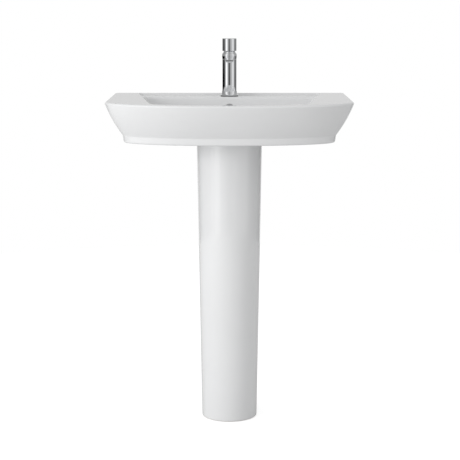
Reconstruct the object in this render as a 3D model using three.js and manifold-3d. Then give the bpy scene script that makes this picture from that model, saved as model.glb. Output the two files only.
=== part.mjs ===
// Pedestal washbasin with a monobloc mixer tap, click waste and bottle trap.
// Millimetres, +Z up. The user stands at -Y and has +X on the right.
// Origin: centre of the footprint box, on the floor. The wall is the plane y = BASIN_DEPTH / 2.
import * as THREE from 'three';
import { mergeVertices } from 'three/addons/utils/BufferGeometryUtils.js';
import Module from 'manifold-3d';

// ---------------------------------------------------------------- driving dimensions
const GAP = 0.3;                  // clearance between pieces that touch

// basin
const RIM_HEIGHT = 872;           // floor to the deck of the basin
const BASIN_WIDTH = 650;
const BASIN_DEPTH = 480;          // wall to the middle of the bowed front
const BASIN_HEIGHT = 107;         // deck to the bottom edge of the skirt
const BOW_DEPTH = 148;            // how far the front bows out past the straight sides
const SKIRT_TAPER = 45;           // how far the sides lean in, down to the bottom band
const SKIRT_STRAIGHT_SHARE = 0.675;
const FRONT_TAPER_RATIO = 1.2;    // the front leans in this much more than the sides
const BAND_HEIGHT = 19;           // upright band along the bottom edge
const BAND_TAPER = 3;
const RIM_RADIUS = 5;
const EDGE_RADIUS = 4;
const BASIN_WALL = 12;            // thickness of the ceramic
const LEDGE_DROP = 5;             // tap ledge below the deck
const LEDGE_DEPTH = 92;           // wall to the back edge of the bowl
const DECK_THICKNESS = 19;        // deck surface to the underside hollow
const BOWL_HALF_WIDTH_AT_WALL = 258;
const BOWL_NARROWING = 0.137;     // the bowl's sides close in by this much per mm forwards
const FRONT_RIM = 25;             // width of the rim in front of the bowl
const BOWL_BOW = 65;
const BOWL_CORNER = 24;
const LEDGE_CORNER = 14;
const LEDGE_MARGIN = 16;          // deck left between the wall and the sunk ledge
const BOWL_SIDE_POWER = 4.5;
const BOWL_FLOOR_POWER = 1.6;

// waste and overflow
const WASTE_SETBACK = 243;        // wall to the waste, which is also the pedestal's axis
const TAIL_RADIUS = 20.5;         // threaded tail of the waste
const TAIL_WALL = 2.8;
const TAIL_BELOW_BOSS = 38;
const TAIL_SLOT_WIDTH = 14;       // slots that let the overflow into the tail
const WASTE_HOLE_RADIUS = TAIL_RADIUS + 2.5;
const FLANGE_RADIUS = WASTE_HOLE_RADIUS + 9;
const FLANGE_THICKNESS = 2.4;
const FLANGE_SINK = 3;            // recess of the flange in the bowl's floor
const FLANGE_WASHER = 1.5;
const BOSS_RADIUS = FLANGE_RADIUS + 10;
const BOSS_HEIGHT = 38;           // height of the ceramic around the waste hole
const WASTE_SEAL_RADIUS = BOSS_RADIUS - 8;
const WASTE_SEAL_HEIGHT = 6;
const WASTE_SEAL_CHAMFER = 4;
const WASTE_NUT_FLATS = 2 * (TAIL_RADIUS + 8.5);
const WASTE_NUT_HEIGHT = 9;
const PLUG_TRAVEL = 9;
const PLUG_RADIUS = FLANGE_RADIUS - 1.5;
const PLUG_SEAL_HEIGHT = 1.8;
const PLUG_STEM_RADIUS = 3.4;
const PLUG_STEM_BELOW_GUIDE = 14;
const GUIDE_HUB_RADIUS = 7;
const GUIDE_DROP = 4;             // overflow duct to the middle of the plug's guide
const OVERFLOW_RADIUS = 11;
const OVERFLOW_LIP_RADIUS = 14;
const OVERFLOW_LIP = 1.5;
const OVERFLOW_DROP = 37;         // deck to the centre of the overflow hole
const DUCT_WIDTH = 24;
const DUCT_HEIGHT = 10;
const DUCT_WALL = 5;
const DUCT_RUN = 34;              // how far forwards the duct slants before it runs level
const OVERFLOW_RING_WALL = 2.5;
const OVERFLOW_RING_LENGTH = 7;

// pedestal
const PEDESTAL_TOP_RADIUS = 87.5;
const PEDESTAL_FOOT_RADIUS = 75;
const PEDESTAL_WALL = 12;
const PEDESTAL_TAIL = 100;        // axis to the back edge, at the foot
const SEAL_THICKNESS = 3;
const SEAT_HEIGHT = 32;
const SEAT_MARGIN = 6;            // seat under the bowl, wider than the pedestal by this much
const FOOT_WEB_DEPTH = 26;
const FOOT_WEB_THICKNESS = 14;
const FOOT_WEB_INSET = 2;         // back edge of the pedestal to the web
const FOOT_SCREW_SPACING = 86;
const BEDDING_INSET = 2;          // edge of the ceramic to the edge of the bedding seal

// fixings to the wall and floor
const WALL_BOLT_SPACING = 280;
const WALL_BOLT_DROP = 58;        // deck to the wall bolts
const WALL_BOLT_RADIUS = 5;
const WALL_BOLT_LENGTH = 52;
const BOLT_WASHER_RADIUS = 14;
const BOLT_WASHER_THICKNESS = 2.5;
const BOLT_NUT_FLATS = 17;
const BOLT_NUT_HEIGHT = 8;
const SCREW_RADIUS = 3;
const SCREW_HEAD_RADIUS = 6.2;
const SCREW_HEAD_HEIGHT = 4;
const SCREW_WASHER_RADIUS = 8;
const SCREW_WASHER_THICKNESS = 2;

// tap
const TAP_SETBACK = 57;           // wall to the tap's axis
const TAP_HOLE_RADIUS = 17.5;
const TAP_RADIUS = 19.8;
const TAP_HEIGHT = 160;           // ledge to the top of the handle
const HANDLE_HEIGHT = 34.5;
const NECK_GAP = 5.8;
const COLLAR_HEIGHT = 17.2;
const COLLAR_BULGE = 0.8;
const BASE_RADIUS = 25;
const BASE_HEIGHT = 11;
const CARTRIDGE_RADIUS = 12.6;
const CARTRIDGE_HEIGHT = 29;
const CARTRIDGE_SINK = 7;         // collar's top to the top of the cartridge
const NECK_WALL = 2.3;            // brass around the cartridge
const PORT_RADIUS = 2.4;          // waterway from the cartridge into the spout
const WATERWAY_RADIUS = 3.4;
const ROTOR_RADIUS = 7.9;
const STEM_RADIUS = 3.8;
const STEM_SHARE = 0.66;          // share of the handle's height that the stem reaches up
const PIN_RADIUS = 1.2;           // pin that the stem tilts on
const PIN_ABOVE_SLOT = 5;
const GRUB_SCREW_RADIUS = 2;
const GRUB_SCREW_DROP = 6;        // stem's top to the screw that holds the handle on it
const DOME_RADIUS = 18;
const DOME_WALL = 1.8;
const DOME_SINK = 4;              // the dome's centre lies this far below the collar's top
const HANDLE_CLEARANCE = 1;       // between the dome and the handle that tilts over it
const SPOUT_REACH = 110;
const SPOUT_WIDTH = 24;
const SPOUT_THICKNESS = 8;
const SPOUT_SLOPE = 0.065;        // radians below level
const PIPE_RADIUS = 5;            // the tap's copper tails
const TAIL_SPREAD = 15;           // between the two tails in the tap
const TAIL_FORWARD = 1.05;        // the tails stand this far in front of the tap's axis
const TAIL_SOCKET = 24;           // how far the tails reach up into the tap
const STUD_RADIUS = 4;
const STUD_LENGTH = 72;
const STUD_OFFSET = 10.5;
const STUD_SOCKET = 16;
const TAP_SEAL_THICKNESS = 1.5;
const TAP_WASHER_RADIUS = TAP_HOLE_RADIUS + 2.3;
const TAP_WASHER_MARGIN = 1.2;    // between a tail and the edge of the horseshoe's notch
const TAP_RUBBER_THICKNESS = 3;
const TAP_PLATE_THICKNESS = 2;
const TAP_NUT_FLATS = 11;
const TAP_NUT_HEIGHT = 14;

// stop valves
const VALVE_SPREAD = 88;
const VALVE_SETBACK = 168;
const VALVE_DROP = 372;           // deck to the middle of the valves
const VALVE_RADIUS = 9.5;
const VALVE_HEIGHT = 34;
const VALVE_TOP_SOCKET = 8;
const VALVE_BOTTOM_SOCKET = 7;
const VALVE_PORT_RADIUS = 3.6;
const VALVE_NECK_WALL = 3;        // brass around the tail in the valve's neck
const SPINDLE_RADIUS = 3.6;
const SPINDLE_BOSS_RADIUS = 6.4;
const SPINDLE_END = 15.6;         // valve's axis to the slotted end of the spindle
const SUPPLY_RADIUS = 7.5;
const SUPPLY_WALL = 1.6;          // brass around the supply pipe
const TAIL_NUT_FLATS = 21;
const INLET_NUT_FLATS = 24;
const VALVE_NUT_REACH = 4;        // how far both nuts stand past the valve
const VALVE_NUT_START = 10;       // valve's middle to both nuts

// trap
const TRAP_RADIUS = 27;
const TRAP_CUP_RADIUS = 35;
const TRAP_CUP_HEIGHT = 84;
const TRAP_WALL = 3;
const WASTE_PIPE_RADIUS = 17.5;
const WASTE_PIPE_WALL = 2;
const TRAP_BRANCH_RADIUS = WASTE_PIPE_RADIUS + 4.5;
const TRAP_SKIRT_HEIGHT = 10;     // threaded skirt that the cup screws on to
const TRAP_SKIRT_WALL = 2;
const TRAP_NECK = 26;             // inlet collar to the trap's shoulder
const TRAP_COLLAR = 4;            // collar that the inlet nut pulls up
const DIP_RADIUS = 15;            // tube that dips into the cup's water
const DIP_WALL = 2.2;
const DIP_REACH = 30;
const NECK_THICKENING = 1.5;
const BRANCH_REACH = 26;
const TRAP_NUT_WALL = 5;
const TRAP_NUT_REACH = 14;
const TRAP_NUT_FLOOR = 3;
const TRAP_WASHER_THICKNESS = 3;
const TRAP_CUP_SEAL_HEIGHT = 2.1;

// facets
const ROUND = 20;                 // sides of a round piece
const ROUND_SMALL = 12;
const OUTLINE_STEPS = 8;          // points along a quarter of a bowed outline

// ---------------------------------------------------------------- materials
const finish = (color, roughness, metalness) =>
  new THREE.MeshStandardMaterial({ color, roughness, metalness });
const ceramic = finish(0xf1f2f2, 0.12, 0);
const chrome = finish(0xc9ccd0, 0.06, 1);
const brass = finish(0xc6a45a, 0.3, 1);
const copper = finish(0xb8734a, 0.32, 1);
const steel = finish(0xa9acae, 0.35, 1);
const rubber = finish(0x232425, 0.8, 0);
const whitePlastic = finish(0xe9eaea, 0.42, 0);
const greyPlastic = finish(0x77797c, 0.5, 0);

// ---------------------------------------------------------------- solids
const wasm = await Module();
wasm.setup();

// Closed, indexed copy of a geometry: shared corners merged, flat triangles dropped, faces outwards.
function closed(geometry) {
  const bare = geometry.clone();
  bare.deleteAttribute('normal');
  bare.deleteAttribute('uv');
  const merged = mergeVertices(bare, 1e-4);
  const source = merged.index.array;
  const position = merged.attributes.position;
  const kept = [];
  let volume = 0;
  const a = new THREE.Vector3();
  const b = new THREE.Vector3();
  const c = new THREE.Vector3();
  for (let i = 0; i < source.length; i += 3) {
    const [p, q, r] = [source[i], source[i + 1], source[i + 2]];
    if (p === q || q === r || r === p) continue;
    kept.push(p, q, r);
    a.fromBufferAttribute(position, p);
    b.fromBufferAttribute(position, q);
    c.fromBufferAttribute(position, r);
    volume += a.dot(b.cross(c));
  }
  if (volume < 0) kept.reverse();
  merged.setIndex(kept);
  return merged;
}

function solid(geometry) {
  const shape = closed(geometry);
  return new wasm.Manifold(new wasm.Mesh({
    numProp: 3,
    vertProperties: new Float32Array(shape.attributes.position.array),
    triVerts: new Uint32Array(shape.index.array),
  }));
}

function surface(manifold) {
  const cut = manifold.getMesh();
  const geometry = new THREE.BufferGeometry();
  geometry.setAttribute('position', new THREE.BufferAttribute(cut.vertProperties, 3));
  geometry.setIndex(new THREE.BufferAttribute(cut.triVerts, 1));
  geometry.computeVertexNormals();
  return geometry;
}

// base + added pieces - cut pieces, all given as geometries
function combine(base, added, cuts = []) {
  let result = solid(base);
  for (const piece of added) result = result.add(solid(piece));
  for (const piece of cuts) result = result.subtract(solid(piece));
  return surface(result);
}

// Profile of [radius, z] points turned round the Z axis.
// It closes on itself unless both ends are on the axis.
function turned(points, sides = ROUND) {
  const profile = points.map(([radius, z]) => new THREE.Vector2(radius, z));
  const onAxis = points[0][0] === 0 && points[points.length - 1][0] === 0;
  if (!onAxis) profile.push(profile[0].clone());
  return closed(new THREE.LatheGeometry(profile, sides).rotateX(Math.PI / 2));
}

const rod = (radius, z0, z1, sides = ROUND) =>
  turned([[0, z0], [radius, z0], [radius, z1], [0, z1]], sides);

const sleeve = (inner, outer, z0, z1, sides = ROUND) =>
  turned([[inner, z0], [outer, z0], [outer, z1], [inner, z1]], sides);

function block(width, depth, height) {
  return new THREE.BoxGeometry(width, depth, height);
}

function plate(shape, z0, z1, curveSegments = OUTLINE_STEPS) {
  const settings = { depth: z1 - z0, bevelEnabled: false, curveSegments };
  return new THREE.ExtrudeGeometry(shape, settings).translate(0, 0, z0);
}

function hexagon(acrossFlats) {
  const corner = acrossFlats / Math.sqrt(3);
  const shape = new THREE.Shape();
  for (let i = 0; i < 6; i += 1) {
    const angle = (i * Math.PI) / 3;
    const point = [corner * Math.cos(angle), corner * Math.sin(angle)];
    if (i === 0) shape.moveTo(...point);
    else shape.lineTo(...point);
  }
  shape.closePath();
  return shape;
}

function hexNut(acrossFlats, bore, z0, z1) {
  const shape = hexagon(acrossFlats);
  const hole = new THREE.Path();
  hole.absarc(0, 0, bore, 0, Math.PI * 2, true);
  shape.holes.push(hole);
  return plate(shape, z0, z1, 8);
}

function part(name, geometry, material, x = 0, y = 0, z = 0) {
  const mesh = new THREE.Mesh(geometry, material);
  mesh.name = name;
  mesh.position.set(x, y, z);
  return mesh;
}

function groupAt(x, y, z, meshes) {
  const group = new THREE.Group();
  group.position.set(x, y, z);
  group.add(...meshes);
  return group;
}

// Rounded back corners, sides that close in forwards by `narrowing`, and an elliptical front.
// The wall is at y = 0.
function bowedOutline({ back, front, bow, halfWidthAtWall, narrowing, corner }) {
  const straightEnd = front - bow;
  const halfWidth = (fromWall) => halfWidthAtWall - narrowing * fromWall;
  const shape = new THREE.Shape();
  shape.moveTo(halfWidth(back + corner), -(back + corner));
  shape.quadraticCurveTo(halfWidth(back), -back, halfWidth(back) - corner, -back);
  shape.lineTo(-(halfWidth(back) - corner), -back);
  shape.quadraticCurveTo(-halfWidth(back), -back, -halfWidth(back + corner), -(back + corner));
  shape.lineTo(-halfWidth(straightEnd), -straightEnd);
  shape.absellipse(0, -straightEnd, halfWidth(straightEnd), bow, Math.PI, Math.PI * 2, false, 0);
  shape.closePath();
  return shape;
}

// Extrudes a shape in unequal levels and moves the points of each level with `place(x, y, level)`.
function loft(shape, levels, place, curveSegments = OUTLINE_STEPS) {
  const steps = levels.length - 1;
  const settings = { depth: steps, steps, bevelEnabled: false, curveSegments };
  const geometry = new THREE.ExtrudeGeometry(shape, settings);
  const position = geometry.attributes.position;
  for (let i = 0; i < position.count; i += 1) {
    const level = levels[Math.round(position.getZ(i))];
    const [x, y, z] = place(position.getX(i), position.getY(i), level);
    position.setXYZ(i, x, y, z);
  }
  return closed(geometry);
}

// ---------------------------------------------------------------- basin
const floorDrop = BASIN_HEIGHT - BASIN_WALL - SEAL_THICKNESS;   // deck to the floor of the bowl
const bossBottom = -(floorDrop + BOSS_HEIGHT);

// How far the skirt has leaned in at a drop below the deck:
// nothing at the lip, then more and more down to the band.
function skirtInset(drop) {
  const bandTop = BASIN_HEIGHT - BAND_HEIGHT;
  if (drop <= bandTop) {
    const share = Math.max(drop - RIM_RADIUS, 0) / (bandTop - RIM_RADIUS);
    return SKIRT_TAPER * (SKIRT_STRAIGHT_SHARE * share + (1 - SKIRT_STRAIGHT_SHARE) * share * share);
  }
  return SKIRT_TAPER + BAND_TAPER * Math.min((drop - bandTop) / BAND_HEIGHT, 1);
}

// The skirt, shrunk all round by `wall`, from one drop below the deck to another.
function skirtSolid(wall, levels) {
  const halfWidth = BASIN_WIDTH / 2 - wall;
  const straightEnd = BASIN_DEPTH - BOW_DEPTH;
  const bow = BOW_DEPTH - wall;
  const shape = new THREE.Shape();
  shape.moveTo(halfWidth, -wall);
  shape.lineTo(-halfWidth, -wall);
  shape.lineTo(-halfWidth, -straightEnd);
  shape.absellipse(0, -straightEnd, halfWidth, bow, Math.PI, Math.PI * 2, false, 0);
  shape.closePath();
  return loft(shape, levels, (x, y, { z, inset }) => {
    const frontInset = inset * FRONT_TAPER_RATIO;
    const bowInset = frontInset * 0.82;
    const straight = straightEnd - (frontInset - bowInset);
    const fromWall = -y;
    const forward = fromWall > straightEnd
      ? straight + (fromWall - straightEnd) * ((bow - bowInset) / bow)
      : wall + (fromWall - wall) * ((straight - wall) / (straightEnd - wall));
    return [x * ((halfWidth - inset) / halfWidth), -forward, z];
  });
}

function skirtLevels() {
  const levels = [];
  for (let i = 0; i <= 3; i += 1) {
    const angle = (i / 3) * (Math.PI / 2);
    const drop = RIM_RADIUS * (1 - Math.sin(angle));
    levels.unshift({ z: -drop, inset: skirtInset(drop) + RIM_RADIUS * (1 - Math.cos(angle)) });
  }
  const bandTop = BASIN_HEIGHT - BAND_HEIGHT;
  for (let i = 1; i <= 5; i += 1) {
    const drop = RIM_RADIUS + ((bandTop - RIM_RADIUS) * i) / 5;
    levels.push({ z: -drop, inset: skirtInset(drop) });
  }
  const edgeTop = BASIN_HEIGHT - EDGE_RADIUS;
  for (let i = 0; i <= 2; i += 1) {
    const angle = (i / 2) * (Math.PI / 2);
    const drop = edgeTop + EDGE_RADIUS * Math.sin(angle);
    levels.push({ z: -drop, inset: skirtInset(drop) + EDGE_RADIUS * (1 - Math.cos(angle)) });
  }
  return levels;
}

const bowlOutline = (grow) => bowedOutline({
  back: LEDGE_DEPTH - grow,
  front: BASIN_DEPTH - FRONT_RIM + grow,
  bow: BOWL_BOW,
  halfWidthAtWall: BOWL_HALF_WIDTH_AT_WALL + grow,
  narrowing: BOWL_NARROWING,
  corner: BOWL_CORNER,
});

// Share of the bowl's width that is left at a share of its depth.
const bowlShrink = (depthShare) => (1 - depthShare ** BOWL_FLOOR_POWER) ** (1 / BOWL_SIDE_POWER);

// The bowl's inside, or with `grow` its outside:
// rounded sides that run into a floor which falls to the waste.
function bowlSolid(grow, top) {
  const depth = floorDrop + grow;
  const levels = [{ z: top, shrink: 1 }];
  const steps = 9;
  for (let i = 1; i <= steps; i += 1) {
    const share = Math.sin((i / (steps + 0.15)) * (Math.PI / 2)) ** (2 / BOWL_FLOOR_POWER);
    levels.push({ z: -depth * share, shrink: bowlShrink(share) });
  }
  return loft(bowlOutline(grow), levels, (x, y, { z, shrink }) => [
    x * shrink,
    -WASTE_SETBACK + (y + WASTE_SETBACK) * shrink,
    z,
  ]);
}

// Distance from the wall to the bowl's back surface at a drop below the deck.
function bowlBack(drop, grow = 0) {
  const shrink = bowlShrink(drop / (floorDrop + grow));
  return WASTE_SETBACK - (WASTE_SETBACK - LEDGE_DEPTH + grow) * shrink;
}

function ledgeRecess() {
  const shape = bowedOutline({
    back: LEDGE_MARGIN,
    front: BASIN_DEPTH - FRONT_RIM,
    bow: BOWL_BOW,
    halfWidthAtWall: BOWL_HALF_WIDTH_AT_WALL,
    narrowing: BOWL_NARROWING,
    corner: LEDGE_CORNER,
  });
  return plate(shape, -LEDGE_DROP, 1);
}

const topTail = (PEDESTAL_TAIL * PEDESTAL_TOP_RADIUS) / PEDESTAL_FOOT_RADIUS;

// U-shaped outline around the pedestal's axis, open at the back.
function pedestalOutline(outerRadius, innerRadius, tail) {
  const shape = new THREE.Shape();
  shape.moveTo(outerRadius, tail);
  shape.lineTo(innerRadius, tail);
  shape.lineTo(innerRadius, 0);
  shape.absarc(0, 0, innerRadius, 0, -Math.PI, true);
  shape.lineTo(-innerRadius, tail);
  shape.lineTo(-outerRadius, tail);
  shape.lineTo(-outerRadius, 0);
  shape.absarc(0, 0, outerRadius, -Math.PI, 0, false);
  shape.closePath();
  return shape;
}

// Flat seat under the bowl that the pedestal's top edge carries.
function pedestalSeat() {
  const outer = PEDESTAL_TOP_RADIUS + SEAT_MARGIN;
  const inner = PEDESTAL_TOP_RADIUS - PEDESTAL_WALL - SEAT_MARGIN;
  const shape = pedestalOutline(outer, inner, topTail - PEDESTAL_WALL);
  return plate(shape, -BASIN_HEIGHT, -BASIN_HEIGHT + SEAT_HEIGHT).translate(0, -WASTE_SETBACK, 0);
}

// Outline of a bent strip of even thickness along a line of points, with mitred corners.
function strip(points, half) {
  const directions = points.slice(1).map((point, i) => point.clone().sub(points[i]).normalize());
  const offset = (i, side) => {
    const before = directions[Math.max(i - 1, 0)];
    const after = directions[Math.min(i, directions.length - 1)];
    const mitre = before.clone().add(after).normalize();
    const reach = (side * half) / mitre.dot(before);
    return new THREE.Vector2(points[i].x - mitre.y * reach, points[i].y + mitre.x * reach);
  };
  const oneSide = points.map((_, i) => offset(i, 1));
  const otherSide = points.map((_, i) => offset(i, -1)).reverse();
  return new THREE.Shape([...oneSide, ...otherSide]);
}

// Overflow duct, from behind the overflow hole down and forwards to the waste hole.
function duct(grow) {
  const behind = bowlBack(OVERFLOW_DROP, BASIN_WALL);
  const lowest = -(floorDrop + BASIN_WALL + DUCT_HEIGHT / 2);
  const end = WASTE_SETBACK - (grow > 0 ? BOSS_RADIUS - DUCT_WALL : WASTE_HOLE_RADIUS - DUCT_WALL);
  const top = -OVERFLOW_DROP + OVERFLOW_RADIUS - DUCT_WALL + grow;
  const points = [
    new THREE.Vector2(behind, top),
    new THREE.Vector2(behind, -OVERFLOW_DROP - OVERFLOW_RADIUS * 2),
    new THREE.Vector2(behind + DUCT_RUN, lowest),
    new THREE.Vector2(end, lowest),
  ];
  const width = DUCT_WIDTH + 2 * grow;
  const section = strip(points, DUCT_HEIGHT / 2 + grow);
  const geometry = new THREE.ExtrudeGeometry(section, { depth: width, bevelEnabled: false })
    .translate(0, 0, -width / 2);
  // section x runs away from the wall and section y runs up
  const axes = new THREE.Matrix4().makeBasis(
    new THREE.Vector3(0, -1, 0),
    new THREE.Vector3(0, 0, 1),
    new THREE.Vector3(-1, 0, 0),
  );
  return geometry.applyMatrix4(axes);
}

// Places a piece drawn on the Z axis on the back of the bowl at the overflow, with +Z out of the ceramic.
function atOverflow(geometry) {
  const lean = Math.atan(bowlBack(OVERFLOW_DROP + 0.5) - bowlBack(OVERFLOW_DROP - 0.5));
  return geometry.rotateX(Math.PI / 2 - lean).translate(0, -bowlBack(OVERFLOW_DROP), -OVERFLOW_DROP);
}

// Turns a piece drawn on the Z axis to point forwards from the wall, or back towards it.
const alongY = (geometry) => geometry.rotateX(Math.PI / 2);
const towardsWall = (geometry) => alongY(geometry).rotateZ(Math.PI);

function makeBasin() {
  const hollowLevels = [DECK_THICKNESS, BASIN_HEIGHT / 2, BASIN_HEIGHT - BAND_HEIGHT, BASIN_HEIGHT]
    .map((drop) => ({ z: -drop, inset: skirtInset(drop) }));
  hollowLevels.push({ z: -BASIN_HEIGHT - 60, inset: skirtInset(BASIN_HEIGHT) });
  const boss = rod(BOSS_RADIUS, bossBottom, -floorDrop + 2).translate(0, -WASTE_SETBACK, 0);
  const shell = solid(skirtSolid(0, skirtLevels()))
    .subtract(solid(skirtSolid(BASIN_WALL, hollowLevels)))
    .add(solid(bowlSolid(BASIN_WALL, -LEDGE_DROP - 1)))
    .add(solid(pedestalSeat()))
    .add(solid(boss))
    .add(solid(duct(DUCT_WALL)));
  const cuts = [
    ledgeRecess(),
    bowlSolid(0, 1),
    rod(WASTE_HOLE_RADIUS, bossBottom - 1, 0).translate(0, -WASTE_SETBACK, 0),
    rod(FLANGE_RADIUS + 1, -floorDrop - FLANGE_SINK, 0).translate(0, -WASTE_SETBACK, 0),
    rod(TAP_HOLE_RADIUS, -DECK_THICKNESS - 1, 1).translate(0, -TAP_SETBACK, 0),
    duct(0),
    atOverflow(rod(OVERFLOW_RADIUS, -BASIN_WALL, 3)),
    atOverflow(rod(OVERFLOW_LIP_RADIUS + GAP, -OVERFLOW_LIP, 6)),
  ];
  for (const side of [-1, 1]) {
    const hole = alongY(rod(WALL_BOLT_RADIUS + 2, -1, BASIN_WALL + 1, ROUND_SMALL));
    cuts.push(hole.translate((side * WALL_BOLT_SPACING) / 2, 0, -WALL_BOLT_DROP));
  }
  let result = shell;
  for (const cut of cuts) result = result.subtract(solid(cut));
  return part('basin', surface(result), ceramic);
}

function makeOverflowRing() {
  const bore = OVERFLOW_RADIUS - OVERFLOW_RING_WALL;
  const ring = turned([
    [bore, -OVERFLOW_RING_LENGTH],
    [OVERFLOW_RADIUS - GAP, -OVERFLOW_RING_LENGTH],
    [OVERFLOW_RADIUS - GAP, -OVERFLOW_LIP + GAP],
    [OVERFLOW_LIP_RADIUS, -OVERFLOW_LIP + GAP],
    [OVERFLOW_LIP_RADIUS - 0.8, GAP],
    [bore, GAP],
  ]);
  return part('overflow_ring', atOverflow(ring), chrome);
}

function basinParts() {
  const meshes = [makeBasin(), makeOverflowRing()];
  for (const [side, sign] of [['left', -1], ['right', 1]]) {
    const x = (sign * WALL_BOLT_SPACING) / 2;
    const z = -WALL_BOLT_DROP;
    const bore = WALL_BOLT_RADIUS + GAP;
    const washerStart = BASIN_WALL + GAP;
    const washerEnd = washerStart + BOLT_WASHER_THICKNESS;
    const nutStart = washerEnd + GAP;
    const bolt = alongY(rod(WALL_BOLT_RADIUS, GAP, WALL_BOLT_LENGTH, ROUND_SMALL));
    const washer = alongY(sleeve(bore, BOLT_WASHER_RADIUS, washerStart, washerEnd, ROUND_SMALL));
    const nut = alongY(hexNut(BOLT_NUT_FLATS, bore, nutStart, nutStart + BOLT_NUT_HEIGHT));
    meshes.push(part(`wall_bolt_${side}`, bolt, steel, x, 0, z));
    meshes.push(part(`wall_bolt_washer_${side}`, washer, greyPlastic, x, 0, z));
    meshes.push(part(`wall_bolt_nut_${side}`, nut, steel, x, 0, z));
  }
  return groupAt(0, BASIN_DEPTH / 2, RIM_HEIGHT, meshes);
}

// ---------------------------------------------------------------- pedestal
const pedestalHeight = RIM_HEIGHT - BASIN_HEIGHT - SEAL_THICKNESS - 2 * GAP;
const webCentre = PEDESTAL_TAIL - FOOT_WEB_INSET - FOOT_WEB_DEPTH / 2;

function makePedestal() {
  const spread = PEDESTAL_TOP_RADIUS / PEDESTAL_FOOT_RADIUS;
  const inner = PEDESTAL_FOOT_RADIUS - PEDESTAL_WALL;
  const shape = pedestalOutline(PEDESTAL_FOOT_RADIUS, inner, PEDESTAL_TAIL);
  const levels = [{ z: 0, scale: 1 }, { z: pedestalHeight, scale: spread }];
  const shell = loft(shape, levels, (x, y, { z, scale }) => {
    // the wall keeps its thickness while the outline grows
    const radius = y < 0 ? Math.hypot(x, y) : Math.abs(x);
    const isInner = radius < PEDESTAL_FOOT_RADIUS - PEDESTAL_WALL / 2;
    const target = PEDESTAL_FOOT_RADIUS * scale - (isInner ? PEDESTAL_WALL : 0);
    const stretch = target / radius;
    return [x * stretch, y < 0 ? y * stretch : y * scale, z];
  });
  const webWidth = 2 * (PEDESTAL_FOOT_RADIUS - PEDESTAL_WALL / 2);
  const web = block(webWidth, FOOT_WEB_DEPTH, FOOT_WEB_THICKNESS)
    .translate(0, webCentre, FOOT_WEB_THICKNESS / 2);
  const holes = [-1, 1].map((sign) => rod(SCREW_RADIUS + 1, -1, FOOT_WEB_THICKNESS + 1, ROUND_SMALL)
    .translate((sign * FOOT_SCREW_SPACING) / 2, webCentre, 0));
  return part('pedestal', combine(shell, [web], holes), ceramic);
}

function pedestalParts() {
  const meshes = [makePedestal()];
  const sealShape = pedestalOutline(
    PEDESTAL_TOP_RADIUS - BEDDING_INSET,
    PEDESTAL_TOP_RADIUS - PEDESTAL_WALL + BEDDING_INSET,
    topTail - PEDESTAL_WALL,
  );
  const sealBottom = pedestalHeight + GAP;
  meshes.push(part('bedding_seal', plate(sealShape, sealBottom, sealBottom + SEAL_THICKNESS), rubber));
  for (const [side, sign] of [['left', -1], ['right', 1]]) {
    const x = (sign * FOOT_SCREW_SPACING) / 2;
    const washerBottom = FOOT_WEB_THICKNESS + GAP;
    const washerTop = washerBottom + SCREW_WASHER_THICKNESS;
    const washer = sleeve(SCREW_RADIUS + GAP, SCREW_WASHER_RADIUS, washerBottom, washerTop, ROUND_SMALL);
    const headBottom = washerTop + GAP;
    const screw = turned([
      [0, GAP],
      [SCREW_RADIUS, GAP],
      [SCREW_RADIUS, headBottom],
      [SCREW_HEAD_RADIUS, headBottom],
      [SCREW_HEAD_RADIUS - 0.8, headBottom + SCREW_HEAD_HEIGHT * 0.65],
      [SCREW_HEAD_RADIUS * 0.39, headBottom + SCREW_HEAD_HEIGHT],
      [0, headBottom + SCREW_HEAD_HEIGHT],
    ], ROUND_SMALL);
    meshes.push(part(`floor_screw_${side}`, screw, steel, x, webCentre, 0));
    meshes.push(part(`floor_screw_washer_${side}`, washer, whitePlastic, x, webCentre, 0));
  }
  return groupAt(0, BASIN_DEPTH / 2 - WASTE_SETBACK, 0, meshes);
}

// ---------------------------------------------------------------- tap
const handleBottom = TAP_HEIGHT - HANDLE_HEIGHT;
const collarTop = handleBottom - NECK_GAP;
const collarBottom = collarTop - COLLAR_HEIGHT;
const tiltCentre = collarTop - DOME_SINK;
const cartridgeBore = CARTRIDGE_RADIUS + GAP;
const neckRadius = cartridgeBore + NECK_WALL;
const cartridgeTop = collarTop - CARTRIDGE_SINK;
const cartridgeBottom = cartridgeTop - CARTRIDGE_HEIGHT;
const sealTop = GAP + TAP_SEAL_THICKNESS;
const portZ = collarBottom + SPOUT_THICKNESS / 2 + TAP_RADIUS * SPOUT_SLOPE + 2 * GAP;
const tailY = -TAIL_FORWARD;
const tailPlaces = [-TAIL_SPREAD / 2, TAIL_SPREAD / 2];
const stemTop = handleBottom + HANDLE_HEIGHT * STEM_SHARE;
const slotBottom = tiltCentre - PIN_ABOVE_SLOT;

// Places a pin or its hole, drawn on the Z axis, across the tap where the stem tilts.
const acrossTilt = (geometry) => geometry.rotateY(Math.PI / 2).translate(0, 0, tiltCentre);

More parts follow.
